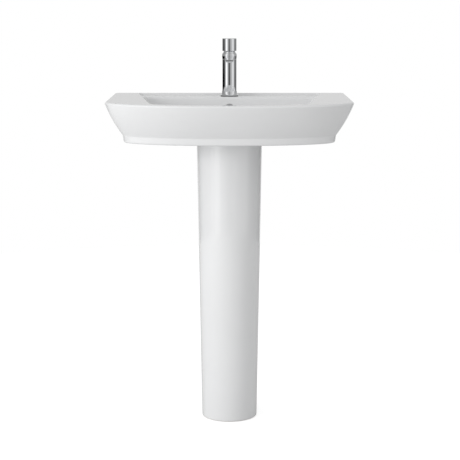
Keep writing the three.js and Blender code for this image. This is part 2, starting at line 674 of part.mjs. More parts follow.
function makeTapBody() {
  const bottom = sealTop + GAP;
  const barrel = turned([
    [0, bottom],
    [TAP_RADIUS, bottom],
    [TAP_RADIUS, collarBottom],
    [neckRadius, collarBottom],
    [neckRadius, collarTop - 0.8],
    [cartridgeBore, collarTop - 0.8],
    [cartridgeBore, cartridgeBottom - GAP],
    [0, cartridgeBottom - GAP],
  ]);
  const cuts = [];
  for (const x of tailPlaces) {
    cuts.push(rod(PIPE_RADIUS + GAP, -1, TAIL_SOCKET + GAP, ROUND_SMALL).translate(x, tailY, 0));
    cuts.push(rod(WATERWAY_RADIUS, TAIL_SOCKET - 4, cartridgeBottom, ROUND_SMALL).translate(x, tailY, 0));
  }
  cuts.push(rod(STUD_RADIUS + GAP, -1, STUD_SOCKET + GAP, ROUND_SMALL).translate(0, -STUD_OFFSET, 0));
  cuts.push(alongY(rod(PORT_RADIUS, cartridgeBore - 1, neckRadius + 1, ROUND_SMALL)).translate(0, 0, portZ));
  return part('tap_body', combine(barrel, [], cuts), chrome);
}

// Section of the blade spout: flat on top, curved underneath.
function spoutSection(width, thickness) {
  const shape = new THREE.Shape();
  const edge = thickness * 0.3;
  shape.moveTo(-width / 2 + edge, thickness / 2);
  shape.lineTo(width / 2 - edge, thickness / 2);
  shape.quadraticCurveTo(width / 2, thickness / 2, width / 2, thickness / 2 - edge);
  shape.quadraticCurveTo(width * 0.36, -thickness / 2, 0, -thickness / 2);
  shape.quadraticCurveTo(-width * 0.36, -thickness / 2, -width / 2, thickness / 2 - edge);
  shape.quadraticCurveTo(-width / 2, thickness / 2, -width / 2 + edge, thickness / 2);
  shape.closePath();
  return shape;
}

// Places a solid drawn along the spout (y forwards from the tap's axis, z up) on the spout's sloping line.
const onSpout = (geometry) => geometry.rotateX(SPOUT_SLOPE).translate(0, 0, portZ);

const outletLength = 7;
const outletWidth = SPOUT_WIDTH - 8;
const outletFromTip = 7;

function makeSpout() {
  const inner = neckRadius + GAP;
  const ringBottom = collarBottom + GAP;
  const bulge = TAP_RADIUS + COLLAR_BULGE;
  const ring = turned([
    [inner, ringBottom],
    [TAP_RADIUS, ringBottom],
    [bulge - 0.2, ringBottom + 3],
    [bulge, ringBottom + COLLAR_HEIGHT / 2],
    [bulge - 0.2, collarTop - 3.5],
    [TAP_RADIUS - 0.8, collarTop],
    [inner, collarTop],
  ]);
  const bladeStart = inner + 1.5;
  const section = spoutSection(SPOUT_WIDTH, SPOUT_THICKNESS);
  const blade = new THREE.ExtrudeGeometry(section, {
    depth: SPOUT_REACH - bladeStart - 1.2,
    bevelEnabled: true,
    bevelSize: 0.8,
    bevelThickness: 1.2,
    bevelOffset: -0.8,
    bevelSegments: 2,
    curveSegments: 5,
  }).translate(0, 0, bladeStart).rotateX(Math.PI / 2);
  const channelStart = inner - 1;
  const channelEnd = SPOUT_REACH - outletFromTip;
  const channel = block(outletWidth - 2, channelEnd - channelStart, 2.6)
    .translate(0, -(channelStart + channelEnd) / 2, 0.4);
  const outlet = block(outletWidth + 2 * GAP, outletLength + 2 * GAP, SPOUT_THICKNESS)
    .translate(0, -(channelEnd - outletLength / 2), -SPOUT_THICKNESS / 2 + 0.4);
  const geometry = combine(ring, [onSpout(blade)], [
    onSpout(channel),
    onSpout(outlet),
    rod(inner, ringBottom - 1, collarTop + 1),
  ]);
  return part('tap_spout', geometry, chrome);
}

function makeSpoutOutlet() {
  const height = 2.4;
  const centreY = -(SPOUT_REACH - outletFromTip - outletLength / 2);
  const frame = block(outletWidth, outletLength, height);
  const slots = [-1, 0, 1].map((i) => block(outletWidth * 0.22, outletLength - 2.4, height + 2)
    .translate(i * outletWidth * 0.29, 0, 0));
  const geometry = combine(frame, [], slots).translate(0, centreY, -SPOUT_THICKNESS / 2 + 1.6);
  return part('spout_outlet', onSpout(geometry), greyPlastic);
}

function makeCartridge() {
  const pocket = ROTOR_RADIUS + GAP;
  const pocketFloor = cartridgeBottom + 11;
  const housing = rod(CARTRIDGE_RADIUS, cartridgeBottom, cartridgeTop);
  const cuts = [rod(pocket, pocketFloor, cartridgeTop + 1)];
  for (const x of tailPlaces) {
    cuts.push(rod(2.6, cartridgeBottom - 1, pocketFloor + 1, ROUND_SMALL).translate(x * 0.72, tailY, 0));
  }
  const port = alongY(rod(PORT_RADIUS - 0.2, pocket - 1, CARTRIDGE_RADIUS + 1, ROUND_SMALL));
  cuts.push(port.translate(0, 0, portZ));
  const stemSlot = 2 * (STEM_RADIUS + GAP);
  const rotorTop = collarTop + 1;
  const rotor = rod(ROTOR_RADIUS, pocketFloor + GAP, rotorTop);
  const slot = block(stemSlot, 2 * ROTOR_RADIUS + 2, rotorTop - slotBottom + 2)
    .translate(0, 0, (rotorTop + slotBottom) / 2);
  const pinHole = acrossTilt(rod(PIN_RADIUS + GAP, -ROTOR_RADIUS - 1, ROTOR_RADIUS + 1, ROUND_SMALL));
  const nutBottom = cartridgeTop + GAP;
  const nut = sleeve(pocket, CARTRIDGE_RADIUS, nutBottom, collarTop - 1);
  return [
    part('cartridge_housing', combine(housing, [], cuts), whitePlastic),
    part('cartridge_rotor', combine(rotor, [], [slot, pinHole]), greyPlastic),
    part('cartridge_nut', nut, brass),
  ];
}

function makeStem() {
  const stem = rod(STEM_RADIUS, slotBottom + 1.4, stemTop, ROUND_SMALL);
  const pinHole = acrossTilt(rod(PIN_RADIUS + GAP, -STEM_RADIUS - 1, STEM_RADIUS + 1, ROUND_SMALL));
  const pin = acrossTilt(rod(PIN_RADIUS, -ROTOR_RADIUS + 0.2, ROTOR_RADIUS - 0.2, ROUND_SMALL));
  return [
    part('cartridge_stem', combine(stem, [], [pinHole]), steel),
    part('cartridge_pin', pin, steel),
  ];
}

// Spherical arc from one height above its centre to another, as [radius, z] points.
function sphereArc(radius, centreZ, fromHeight, toHeight, steps) {
  const start = Math.asin(fromHeight / radius);
  const end = Math.asin(toHeight / radius);
  const points = [];
  for (let i = 0; i <= steps; i += 1) {
    const angle = start + ((end - start) * i) / steps;
    points.push([radius * Math.cos(angle), centreZ + radius * Math.sin(angle)]);
  }
  return points;
}

function makeDome() {
  const holeRadius = 9.6;
  const foot = DOME_SINK + GAP;
  const outerTop = Math.sqrt(DOME_RADIUS ** 2 - holeRadius ** 2);
  const innerRadius = DOME_RADIUS - DOME_WALL;
  const innerTop = Math.sqrt(innerRadius ** 2 - holeRadius ** 2);
  const outside = sphereArc(DOME_RADIUS, tiltCentre, foot, outerTop, 3);
  const inside = sphereArc(innerRadius, tiltCentre, foot, innerTop, 3).reverse();
  return part('cartridge_dome', turned([...outside, ...inside]), chrome);
}

function makeHandle() {
  const edge = 0.8;
  const cylinder = turned([
    [0, handleBottom],
    [TAP_RADIUS - edge, handleBottom],
    [TAP_RADIUS, handleBottom + edge],
    [TAP_RADIUS, TAP_HEIGHT - edge],
    [TAP_RADIUS - edge, TAP_HEIGHT],
    [0, TAP_HEIGHT],
  ]);
  const cavityRadius = DOME_RADIUS + HANDLE_CLEARANCE;
  const cavity = turned([
    [0, handleBottom - 1],
    ...sphereArc(cavityRadius, tiltCentre, handleBottom - 1 - tiltCentre, cavityRadius - 0.01, 6),
    [0, tiltCentre + cavityRadius],
  ]);
  const socket = rod(STEM_RADIUS + GAP, handleBottom, stemTop + GAP, ROUND_SMALL);
  const screwZ = stemTop - GRUB_SCREW_DROP;
  const screwHole = towardsWall(rod(GRUB_SCREW_RADIUS + GAP, 0, TAP_RADIUS + 1, ROUND_SMALL))
    .translate(0, 0, screwZ);
  const screw = towardsWall(rod(GRUB_SCREW_RADIUS, STEM_RADIUS + GAP, TAP_RADIUS - 5, ROUND_SMALL));
  return [
    part('tap_handle', combine(cylinder, [], [cavity, socket, screwHole]), chrome),
    part('handle_screw', screw, steel, 0, 0, screwZ),
  ];
}

function makeTapBase() {
  const inner = TAP_RADIUS + GAP;
  const flare = [];
  const steps = 5;
  for (let i = 0; i <= steps; i += 1) {
    const angle = (i / steps) * (Math.PI / 2);
    const radius = inner + 0.7 + (BASE_RADIUS - inner - 0.7) * (1 - Math.sin(angle));
    flare.push([radius, sealTop + GAP + 1.2 + (BASE_HEIGHT - 1.2) * (1 - Math.cos(angle))]);
  }
  const flange = turned([[inner, sealTop + GAP], [BASE_RADIUS, sealTop + GAP], ...flare,
    [inner, sealTop + GAP + BASE_HEIGHT]]);
  const seal = sleeve(TAP_HOLE_RADIUS - 1.5, BASE_RADIUS - 0.8, GAP, sealTop);
  return [
    part('tap_base_flange', flange, chrome),
    part('tap_base_seal', seal, rubber),
  ];
}

function tapFixing() {
  const ledgeUnder = -(DECK_THICKNESS - LEDGE_DROP);
  const stud = rod(STUD_RADIUS, STUD_SOCKET - STUD_LENGTH, STUD_SOCKET, ROUND_SMALL)
    .translate(0, -STUD_OFFSET, 0);
  const outline = new THREE.Shape();
  outline.absarc(0, 0, TAP_WASHER_RADIUS, 0, Math.PI * 2, false);
  const notchWidth = TAIL_SPREAD + 2 * (PIPE_RADIUS + TAP_WASHER_MARGIN);
  const notchDepth = TAP_WASHER_RADIUS + PIPE_RADIUS + TAP_WASHER_MARGIN + TAIL_FORWARD + 1;
  const washer = (thickness, top) => {
    const notch = block(notchWidth, notchDepth, thickness + 2)
      .translate(0, notchDepth / 2 - PIPE_RADIUS - TAP_WASHER_MARGIN + tailY, top - thickness / 2);
    const hole = rod(STUD_RADIUS + GAP, top - thickness - 1, top + 1, ROUND_SMALL)
      .translate(0, -STUD_OFFSET, 0);
    return combine(plate(outline, top - thickness, top, ROUND / 2), [], [notch, hole]);
  };
  const rubberTop = ledgeUnder - GAP;
  const plateTop = rubberTop - TAP_RUBBER_THICKNESS - GAP;
  const nutTop = plateTop - TAP_PLATE_THICKNESS - GAP;
  const nut = hexNut(TAP_NUT_FLATS, STUD_RADIUS + GAP, nutTop - TAP_NUT_HEIGHT, nutTop);
  return [
    part('tap_fixing_stud', stud, steel),
    part('tap_horseshoe_seal', washer(TAP_RUBBER_THICKNESS, rubberTop), rubber),
    part('tap_horseshoe_plate', washer(TAP_PLATE_THICKNESS, plateTop), steel),
    part('tap_fixing_nut', nut, brass, 0, -STUD_OFFSET, 0),
  ];
}

function tapParts() {
  return groupAt(0, BASIN_DEPTH / 2 - TAP_SETBACK, RIM_HEIGHT - LEDGE_DROP, [
    ...makeTapBase(),
    makeTapBody(),
    makeSpout(),
    makeSpoutOutlet(),
    ...makeCartridge(),
    ...makeStem(),
    makeDome(),
    ...makeHandle(),
    ...tapFixing(),
  ]);
}

// ---------------------------------------------------------------- copper tails and stop valves
// In this group the origin is on the wall plane at deck height, as in the basin.
function makeTail(name, sign) {
  const x0 = (sign * TAIL_SPREAD) / 2;
  const x1 = (sign * VALVE_SPREAD) / 2;
  const y0 = -TAP_SETBACK + tailY;
  const top = -LEDGE_DROP + TAIL_SOCKET;
  const bottom = -(VALVE_DROP - VALVE_HEIGHT / 2 + VALVE_TOP_SOCKET);
  const bendStart = -DECK_THICKNESS - 34;
  const bendEnd = -BASIN_HEIGHT - 96;
  const route = new THREE.CurvePath();
  const from = new THREE.Vector3(x0, y0, bendStart);
  const to = new THREE.Vector3(x1, -VALVE_SETBACK, bendEnd);
  const reach = (bendStart - bendEnd) * 0.55;
  route.add(new THREE.LineCurve3(new THREE.Vector3(x0, y0, top), from));
  route.add(new THREE.CubicBezierCurve3(
    from,
    from.clone().setZ(bendStart - reach),
    to.clone().setZ(bendEnd + reach),
    to,
  ));
  route.add(new THREE.LineCurve3(to, to.clone().setZ(bottom)));
  const section = new THREE.Shape();
  section.absarc(0, 0, PIPE_RADIUS, 0, Math.PI * 2, false);
  const geometry = new THREE.ExtrudeGeometry(section, { steps: 28, curveSegments: 4, extrudePath: route });
  return part(`tail_${name}`, closed(geometry), copper);
}

function valveParts(name, sign) {
  const x = (sign * VALVE_SPREAD) / 2;
  const y = -VALVE_SETBACK;
  const half = VALVE_HEIGHT / 2;
  const neck = PIPE_RADIUS + VALVE_NECK_WALL;
  const inlet = SUPPLY_RADIUS + SUPPLY_WALL;
  const belly = VALVE_RADIUS + 1.5;
  const bodyShape = turned([
    [0, -half],
    [inlet, -half],
    [inlet, -9],
    [belly, -7],
    [belly, 7],
    [neck, 9],
    [neck, half],
    [0, half],
  ]);
  const spindleBoss = towardsWall(rod(SPINDLE_BOSS_RADIUS, 0, SPINDLE_END - 0.6, ROUND_SMALL));
  const body = combine(bodyShape, [spindleBoss], [
    rod(PIPE_RADIUS + GAP, half - VALVE_TOP_SOCKET - GAP, half + 1, ROUND_SMALL),
    rod(VALVE_PORT_RADIUS, -half, half, ROUND_SMALL),
    rod(SUPPLY_RADIUS + GAP, -half - 1, -half + VALVE_BOTTOM_SOCKET, ROUND_SMALL),
    towardsWall(rod(SPINDLE_RADIUS + GAP, 4.5, SPINDLE_END + 1, ROUND_SMALL)),
  ]);
  const slot = block(1.2, 3, 2 * SPINDLE_RADIUS + 1).translate(0, SPINDLE_END + 0.2, 0);
  const spindle = combine(towardsWall(rod(SPINDLE_RADIUS, 5, SPINDLE_END, ROUND_SMALL)), [], [slot]);
  const nutEnd = half + VALVE_NUT_REACH;
  const cutStart = VALVE_NUT_START - 1;
  const topNut = combine(
    plate(hexagon(TAIL_NUT_FLATS), VALVE_NUT_START, nutEnd),
    [],
    [rod(neck + GAP, cutStart, half + GAP), rod(PIPE_RADIUS + GAP, cutStart, nutEnd + 1, ROUND_SMALL)],
  );
  const bottomNut = combine(
    plate(hexagon(INLET_NUT_FLATS), -nutEnd, -VALVE_NUT_START),
    [],
    [
      rod(inlet + GAP, -half - GAP, -cutStart),
      rod(SUPPLY_RADIUS + GAP, -nutEnd - 1, -cutStart, ROUND_SMALL),
    ],
  );
  return [
    part(`stop_valve_${name}`, body, brass, x, y, -VALVE_DROP),
    part(`stop_valve_spindle_${name}`, spindle, brass, x, y, -VALVE_DROP),
    part(`tail_nut_${name}`, topNut, brass, x, y, -VALVE_DROP),
    part(`inlet_nut_${name}`, bottomNut, brass, x, y, -VALVE_DROP),
  ];
}

function supplyParts() {
  const meshes = [];
  for (const [name, sign] of [['hot', -1], ['cold', 1]]) {
    meshes.push(makeTail(name, sign), ...valveParts(name, sign));
  }
  return groupAt(0, BASIN_DEPTH / 2, RIM_HEIGHT, meshes);
}

// ---------------------------------------------------------------- waste and trap
// The origin of this group is on the waste's axis at deck height.
const seatZ = -floorDrop - FLANGE_SINK;
const flangeBottom = seatZ + FLANGE_WASHER + 2 * GAP;
const tailBottom = bossBottom - TAIL_BELOW_BOSS;
const tailBore = TAIL_RADIUS - TAIL_WALL;
const ductZ = -(floorDrop + BASIN_WALL + DUCT_HEIGHT / 2);
const guideZ = ductZ - DUCT_HEIGHT / 2 - GUIDE_DROP;

function makeWasteFlange() {
  const top = flangeBottom + FLANGE_THICKNESS;
  const geometry = turned([
    [tailBore, tailBottom],
    [TAIL_RADIUS, tailBottom],
    [TAIL_RADIUS, flangeBottom],
    [FLANGE_RADIUS, flangeBottom],
    [FLANGE_RADIUS, flangeBottom + 0.8],
    [tailBore + 3, top],
    [tailBore, top - 1.5],
  ]);
  const slots = block(TAIL_SLOT_WIDTH, 2 * TAIL_RADIUS + 4, DUCT_HEIGHT).translate(0, 0, ductZ);
  return part('waste_flange', combine(geometry, [], [slots]), chrome);
}

function makeWasteGuide() {
  const ringHeight = 7;
  const hubHeight = 10;
  const bar = block(2 * (tailBore - GAP) - 0.6, 3.4, ringHeight);
  const hub = rod(GUIDE_HUB_RADIUS, -hubHeight / 2, hubHeight / 2, ROUND_SMALL);
  const bore = rod(PLUG_STEM_RADIUS + 0.2 + GAP, -hubHeight, hubHeight, ROUND_SMALL);
  const ring = sleeve(tailBore - 2.2, tailBore - GAP, -ringHeight / 2, ringHeight / 2);
  return part('waste_guide', combine(bar, [hub, ring], [bore]), whitePlastic, 0, 0, guideZ);
}

function makePlug() {
  const sealBottom = flangeBottom + FLANGE_THICKNESS + PLUG_TRAVEL + 0.8;
  const capBottom = sealBottom + PLUG_SEAL_HEIGHT + GAP;
  const cap = turned([
    [0, capBottom],
    [PLUG_RADIUS, capBottom],
    [PLUG_RADIUS, capBottom + 1],
    [PLUG_RADIUS - 2.4, capBottom + 2.8],
    [PLUG_RADIUS * 0.55, capBottom + 4],
    [0, capBottom + 4.4],
  ]);
  const seal = sleeve(tailBore + 4, PLUG_RADIUS - 2, sealBottom, sealBottom + PLUG_SEAL_HEIGHT);
  const headRadius = 8;
  const stem = turned([
    [0, guideZ - PLUG_STEM_BELOW_GUIDE],
    [PLUG_STEM_RADIUS, guideZ - PLUG_STEM_BELOW_GUIDE],
    [PLUG_STEM_RADIUS, capBottom - 5],
    [headRadius, capBottom - 4],
    [headRadius, capBottom - GAP],
    [0, capBottom - GAP],
  ], ROUND_SMALL);
  return [
    part('waste_plug', cap, chrome),
    part('waste_plug_seal', seal, rubber),
    part('waste_plug_stem', stem, brass),
  ];
}

function wasteFixing() {
  const bore = TAIL_RADIUS + GAP;
  const washerBottom = seatZ + GAP;
  const flangeWasher = sleeve(bore, FLANGE_RADIUS - 1, washerBottom, washerBottom + FLANGE_WASHER);
  const underTop = bossBottom - GAP;
  const underBottom = underTop - WASTE_SEAL_HEIGHT;
  const underSeal = turned([
    [bore, underBottom],
    [WASTE_SEAL_RADIUS - WASTE_SEAL_CHAMFER, underBottom],
    [WASTE_SEAL_RADIUS, underBottom + WASTE_SEAL_CHAMFER],
    [WASTE_SEAL_RADIUS, underTop],
    [bore, underTop],
  ]);
  const nutTop = underBottom - GAP;
  const nutBottom = nutTop - WASTE_NUT_HEIGHT;
  const nut = plate(hexagon(WASTE_NUT_FLATS), nutBottom, nutTop);
  return [
    part('waste_flange_washer', flangeWasher, rubber),
    part('waste_seal', underSeal, rubber),
    part('waste_nut', combine(nut, [], [rod(bore, nutBottom - 1, nutTop + 1)]), brass),
  ];
}

const inletWasherTop = tailBottom - GAP;
const inletFlangeTop = inletWasherTop - TRAP_WASHER_THICKNESS - GAP;
const trapTop = inletFlangeTop - TRAP_NECK;
const outletZ = trapTop - 6 - TRAP_BRANCH_RADIUS;
const trapBottom = outletZ - TRAP_BRANCH_RADIUS - 2 - TRAP_SKIRT_HEIGHT;
const outletEnd = TRAP_RADIUS + BRANCH_REACH;
const skirtRadius = TRAP_RADIUS + TRAP_SKIRT_WALL;
const trapNeckRadius = DIP_RADIUS + NECK_THICKENING;

// Places a piece drawn on the Z axis on the trap's outlet, pointing back to the wall.
const atOutlet = (geometry) => towardsWall(geometry).translate(0, 0, outletZ);

function makeTrapBody() {
  const shoulder = 6;
  const collarBottomZ = inletFlangeTop - TRAP_COLLAR;
  const shape = turned([
    [0, trapBottom - DIP_REACH],
    [DIP_RADIUS, trapBottom - DIP_REACH],
    [DIP_RADIUS, trapBottom + 6],
    [skirtRadius, trapBottom],
    [skirtRadius, trapBottom + TRAP_SKIRT_HEIGHT],
    [TRAP_RADIUS, trapBottom + TRAP_SKIRT_HEIGHT + 2],
    [TRAP_RADIUS, trapTop - shoulder],
    [TRAP_RADIUS - shoulder, trapTop],
    [trapNeckRadius, trapTop],
    [trapNeckRadius, collarBottomZ],
    [TAIL_RADIUS, collarBottomZ],
    [TAIL_RADIUS, inletFlangeTop],
    [0, inletFlangeTop],
  ]);
  const chamberRadius = TRAP_RADIUS - TRAP_WALL;
  const chamber = turned([
    [DIP_RADIUS, trapBottom - 1],
    [chamberRadius, trapBottom - 1],
    [chamberRadius, trapTop - TRAP_WALL - 5],
    [chamberRadius - 5, trapTop - TRAP_WALL],
    [DIP_RADIUS, trapTop - TRAP_WALL],
  ]);
  const branch = atOutlet(rod(TRAP_BRANCH_RADIUS, TRAP_RADIUS - 8, outletEnd));
  const pipeBore = atOutlet(rod(WASTE_PIPE_RADIUS + GAP, skirtRadius, outletEnd + 1));
  const innerBore = atOutlet(rod(WASTE_PIPE_RADIUS - 3, DIP_RADIUS + 2, outletEnd));
  const bore = rod(DIP_RADIUS - DIP_WALL, trapBottom - DIP_REACH - 1, inletFlangeTop + 1);
  const geometry = combine(shape, [branch], [chamber, pipeBore, innerBore, bore]);
  return part('trap_body', geometry, whitePlastic);
}

function trapCupParts() {
  const ringTop = trapBottom + TRAP_SKIRT_HEIGHT - GAP;
  const inner = skirtRadius + GAP;
  const cupSealTop = trapBottom - GAP;
  const floor = trapBottom - TRAP_CUP_HEIGHT;
  const cup = turned([
    [inner, ringTop],
    [inner, trapBottom - 3],
    [TRAP_RADIUS - 1, trapBottom - 3],
    [TRAP_RADIUS - 1, floor + 8],
    [TRAP_RADIUS - 8, floor + TRAP_WALL],
    [0, floor + TRAP_WALL],
    [0, floor],
    [TRAP_RADIUS - 6, floor],
    [TRAP_RADIUS + 3, floor + 8],
    [TRAP_RADIUS + 3, trapBottom - 10],
    [TRAP_CUP_RADIUS, trapBottom - 8],
    [TRAP_CUP_RADIUS, ringTop],
  ].reverse());
  const seal = sleeve(TRAP_RADIUS - 1, skirtRadius - 0.2, cupSealTop - TRAP_CUP_SEAL_HEIGHT, cupSealTop);
  return [
    part('trap_cup', cup, whitePlastic),
    part('trap_cup_seal', seal, rubber),
  ];
}

function trapJoints() {
  const nutInner = TAIL_RADIUS + GAP;
  const nutOuter = TAIL_RADIUS + TRAP_NUT_WALL + 1.5;
  const nutBottom = inletFlangeTop - TRAP_COLLAR - GAP - TRAP_NUT_FLOOR;
  const neckBore = trapNeckRadius + GAP;
  const inletNut = turned([
    [neckBore, nutBottom],
    [nutOuter, nutBottom],
    [nutOuter, tailBottom + TRAP_NUT_REACH],
    [nutInner, tailBottom + TRAP_NUT_REACH],
    [nutInner, nutBottom + TRAP_NUT_FLOOR],
    [neckBore, nutBottom + TRAP_NUT_FLOOR],
  ]);
  const inletWasherBottom = inletWasherTop - TRAP_WASHER_THICKNESS;
  const inletWasher = sleeve(tailBore - 1, TAIL_RADIUS, inletWasherBottom, inletWasherTop);
  const branchBore = TRAP_BRANCH_RADIUS + GAP;
  const pipeBore = WASTE_PIPE_RADIUS + GAP;
  const washerEnd = outletEnd + GAP + TRAP_WASHER_THICKNESS;
  const nutStart = outletEnd - TRAP_NUT_REACH;
  const nutEnd = washerEnd + GAP + TRAP_NUT_FLOOR;
  const outletNut = atOutlet(turned([
    [branchBore, nutStart],
    [TRAP_BRANCH_RADIUS + TRAP_NUT_WALL, nutStart],
    [TRAP_BRANCH_RADIUS + TRAP_NUT_WALL, nutEnd],
    [pipeBore, nutEnd],
    [pipeBore, washerEnd + GAP],
    [branchBore, washerEnd + GAP],
  ]));
  const outletWasher = atOutlet(sleeve(pipeBore, TRAP_BRANCH_RADIUS, outletEnd + GAP, washerEnd));
  const pipe = atOutlet(sleeve(
    WASTE_PIPE_RADIUS - WASTE_PIPE_WALL,
    WASTE_PIPE_RADIUS,
    skirtRadius + GAP,
    WASTE_SETBACK - GAP,
  ));
  return [
    part('trap_inlet_nut', inletNut, whitePlastic),
    part('trap_inlet_washer', inletWasher, rubber),
    part('trap_outlet_nut', outletNut, whitePlastic),
    part('trap_outlet_washer', outletWasher, rubber),
    part('waste_pipe', pipe, whitePlastic),
  ];
}

function wasteParts() {
  return groupAt(0, BASIN_DEPTH / 2 - WASTE_SETBACK, RIM_HEIGHT, [
    makeWasteFlange(),
    makeWasteGuide(),
    ...makePlug(),
    ...wasteFixing(),
    makeTrapBody(),
    ...trapCupParts(),
    ...trapJoints(),
  ]);
}

// ---------------------------------------------------------------- assembly
const pedestalSink = new THREE.Group();
pedestalSink.add(basinParts(), pedestalParts(), tapParts(), supplyParts(), wasteParts());

export default pedestalSink;
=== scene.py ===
"""Pedestal washbasin with a lever mixer, click waste and bottle trap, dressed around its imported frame."""
import logging
import math
from dataclasses import dataclass, field
from enum import Enum
from typing import Callable, Sequence

import bmesh
import bpy
from mathutils import Matrix, Vector


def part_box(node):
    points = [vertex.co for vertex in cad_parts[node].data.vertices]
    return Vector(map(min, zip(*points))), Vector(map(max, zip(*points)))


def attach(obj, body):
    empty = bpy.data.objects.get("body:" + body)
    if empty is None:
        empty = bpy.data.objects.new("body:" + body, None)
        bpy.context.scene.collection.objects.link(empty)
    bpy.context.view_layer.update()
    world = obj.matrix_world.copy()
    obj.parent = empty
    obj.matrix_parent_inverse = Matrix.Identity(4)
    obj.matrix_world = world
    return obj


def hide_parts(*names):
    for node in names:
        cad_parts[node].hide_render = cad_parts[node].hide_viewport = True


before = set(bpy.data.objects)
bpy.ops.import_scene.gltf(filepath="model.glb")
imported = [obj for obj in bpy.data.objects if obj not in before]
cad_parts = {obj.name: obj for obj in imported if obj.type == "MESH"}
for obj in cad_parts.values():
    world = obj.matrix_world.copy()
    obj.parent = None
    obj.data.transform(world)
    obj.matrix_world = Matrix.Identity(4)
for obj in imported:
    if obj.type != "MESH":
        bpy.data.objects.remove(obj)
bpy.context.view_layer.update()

log = logging.getLogger("washbasin")

Corner = tuple[float, ...]           # radius or x, then z or y, then an optional rounding radius
Ring = list[Vector]
Triple = tuple[float, float, float]
Colour = Triple
Place = tuple[float, float]

MILLIMETRE = 0.001
GAP = 0.3                            # clearance between neighbouring pieces, millimetres
QUARTER = math.pi / 2
FLAT_CORNER = math.pi - 0.05         # a profile's corner that is flatter than this stays as it is
CORNER_SHARE = 0.42                  # the most of a profile's side that one rounded corner takes up
SHARP_EDGE = math.radians(34)
BORE_SIDES = 40
SOCKET_SIDES = 48
BARREL_SIDES = 144
RIBBED_SIDES = 288


def quarter_turn(steps: int) -> list[tuple[float, float]]:
    """Returns what a unit radius lacks across and along, step by step round a quarter circle."""
    angles = [QUARTER * step / steps for step in range(steps + 1)]
    return [(1 - math.sin(angle), 1 - math.cos(angle)) for angle in angles]


def smooth(share: float) -> float:
    """Returns a share eased at both ends."""
    return share * share * (3 - 2 * share)


# ---------------------------------------------------------------- shapes
@dataclass
class Shape:
    """Points in millimetres and the faces between them, in the axes of one sub-assembly."""

    points: list[Vector] = field(default_factory=list)
    faces: list[tuple[int, ...]] = field(default_factory=list)

    def moved(self, matrix: Matrix) -> "Shape":
        """Returns a copy carried by a matrix."""
        return Shape([matrix @ point for point in self.points], list(self.faces))

    def shifted(self, x: float = 0.0, y: float = 0.0, z: float = 0.0) -> "Shape":
        """Returns a copy moved along the axes."""
        return self.moved(Matrix.Translation((x, y, z)))

    def mesh(self, name: str) -> bpy.types.Mesh:
        """Makes a mesh with its faces turned outwards.

        Args:
            name: The mesh's name.

        Returns:
            The new mesh, still in millimetres.
        """
        mesh = bpy.data.meshes.new(name)
        mesh.from_pydata([tuple(point) for point in self.points], [], self.faces)
        shell = bmesh.new()
        shell.from_mesh(mesh)
        bmesh.ops.remove_doubles(shell, verts=shell.verts, dist=1e-4)
        bmesh.ops.dissolve_degenerate(shell, edges=shell.edges, dist=1e-5)
        bmesh.ops.recalc_face_normals(shell, faces=shell.faces)
        shell.to_mesh(mesh)
        shell.free()
        return mesh


def carved(base: Shape, added: Sequence[Shape] = (), removed: Sequence[Shape] = ()) -> Shape:
    """Joins shapes to a base and cuts others out of it.

    Args:
        base: The shape to start from.
        added: Shapes joined to it first.
        removed: Shapes cut out of the result.

    Returns:
        One shape with the joins and cuts worked out.
    """
    target = bpy.data.objects.new("blank", base.mesh("blank"))
    bpy.context.scene.collection.objects.link(target)
    tools = []
    for operation, shapes in (("UNION", added), ("DIFFERENCE", removed)):
        for shape in shapes:
            tool = bpy.data.objects.new("tool", shape.mesh("tool"))
            bpy.context.scene.collection.objects.link(tool)
            cut = target.modifiers.new("cut", "BOOLEAN")
            cut.operation = operation
            cut.solver = "EXACT"
            cut.object = tool
            tools.append(tool)
    graph = bpy.context.evaluated_depsgraph_get()
    mesh = bpy.data.meshes.new_from_object(target.evaluated_get(graph))
    points = [vertex.co.copy() for vertex in mesh.vertices]
    faces = [tuple(face.vertices) for face in mesh.polygons]
    for leftover in (*tools, target):
        bpy.data.objects.remove(leftover)
    bpy.data.meshes.remove(mesh)
    return Shape(points, faces)


def softened(corners: Sequence[Corner], closed: bool, steps: int = 4) -> list[tuple[float, float]]:
    """Rounds the corners of a profile and holds the flats beside them.

    Args:
        corners: Points, each with its own rounding radius as a third number where it has one.
        closed: Whether the last point joins the first.
        steps: Pieces in each rounded corner.

    Returns:
        The points of the rounded profile.
    """
    result: list[tuple[float, float]] = []
    count = len(corners)
    for index, corner in enumerate(corners):
        here = Vector(corner[:2])
        radius = corner[2] if len(corner) > 2 else 0.0
        if radius <= 0.0 or (not closed and index in (0, count - 1)):
            result.append(tuple(here))
            continue
        before = Vector(corners[index - 1][:2]) - here
        after = Vector(corners[(index + 1) % count][:2]) - here
        towards, away = before.normalized(), after.normalized()
        angle = towards.angle(away)
        if angle > FLAT_CORNER:
            result.append(tuple(here))
            continue
        reach = min(radius / math.tan(angle / 2), CORNER_SHARE * before.length, CORNER_SHARE * after.length)
        real = reach * math.tan(angle / 2)
        centre = here + (towards + away).normalized() * (real / math.sin(angle / 2))
        start = here + towards * reach
        spoke = start - centre
        turn = spoke.angle_signed((here + away * reach) - centre)
        result.append(tuple(start + towards * min(0.3 * real, 0.1 * before.length)))
        for step in range(steps + 1):
            bend = -turn * step / steps
            cosine, sine = math.cos(bend), math.sin(bend)
            result.append((
                centre.x + spoke.x * cosine - spoke.y * sine,
                centre.y + spoke.x * sine + spoke.y * cosine,
            ))
        result.append(tuple(here + away * (reach + min(0.3 * real, 0.1 * after.length))))
    return result


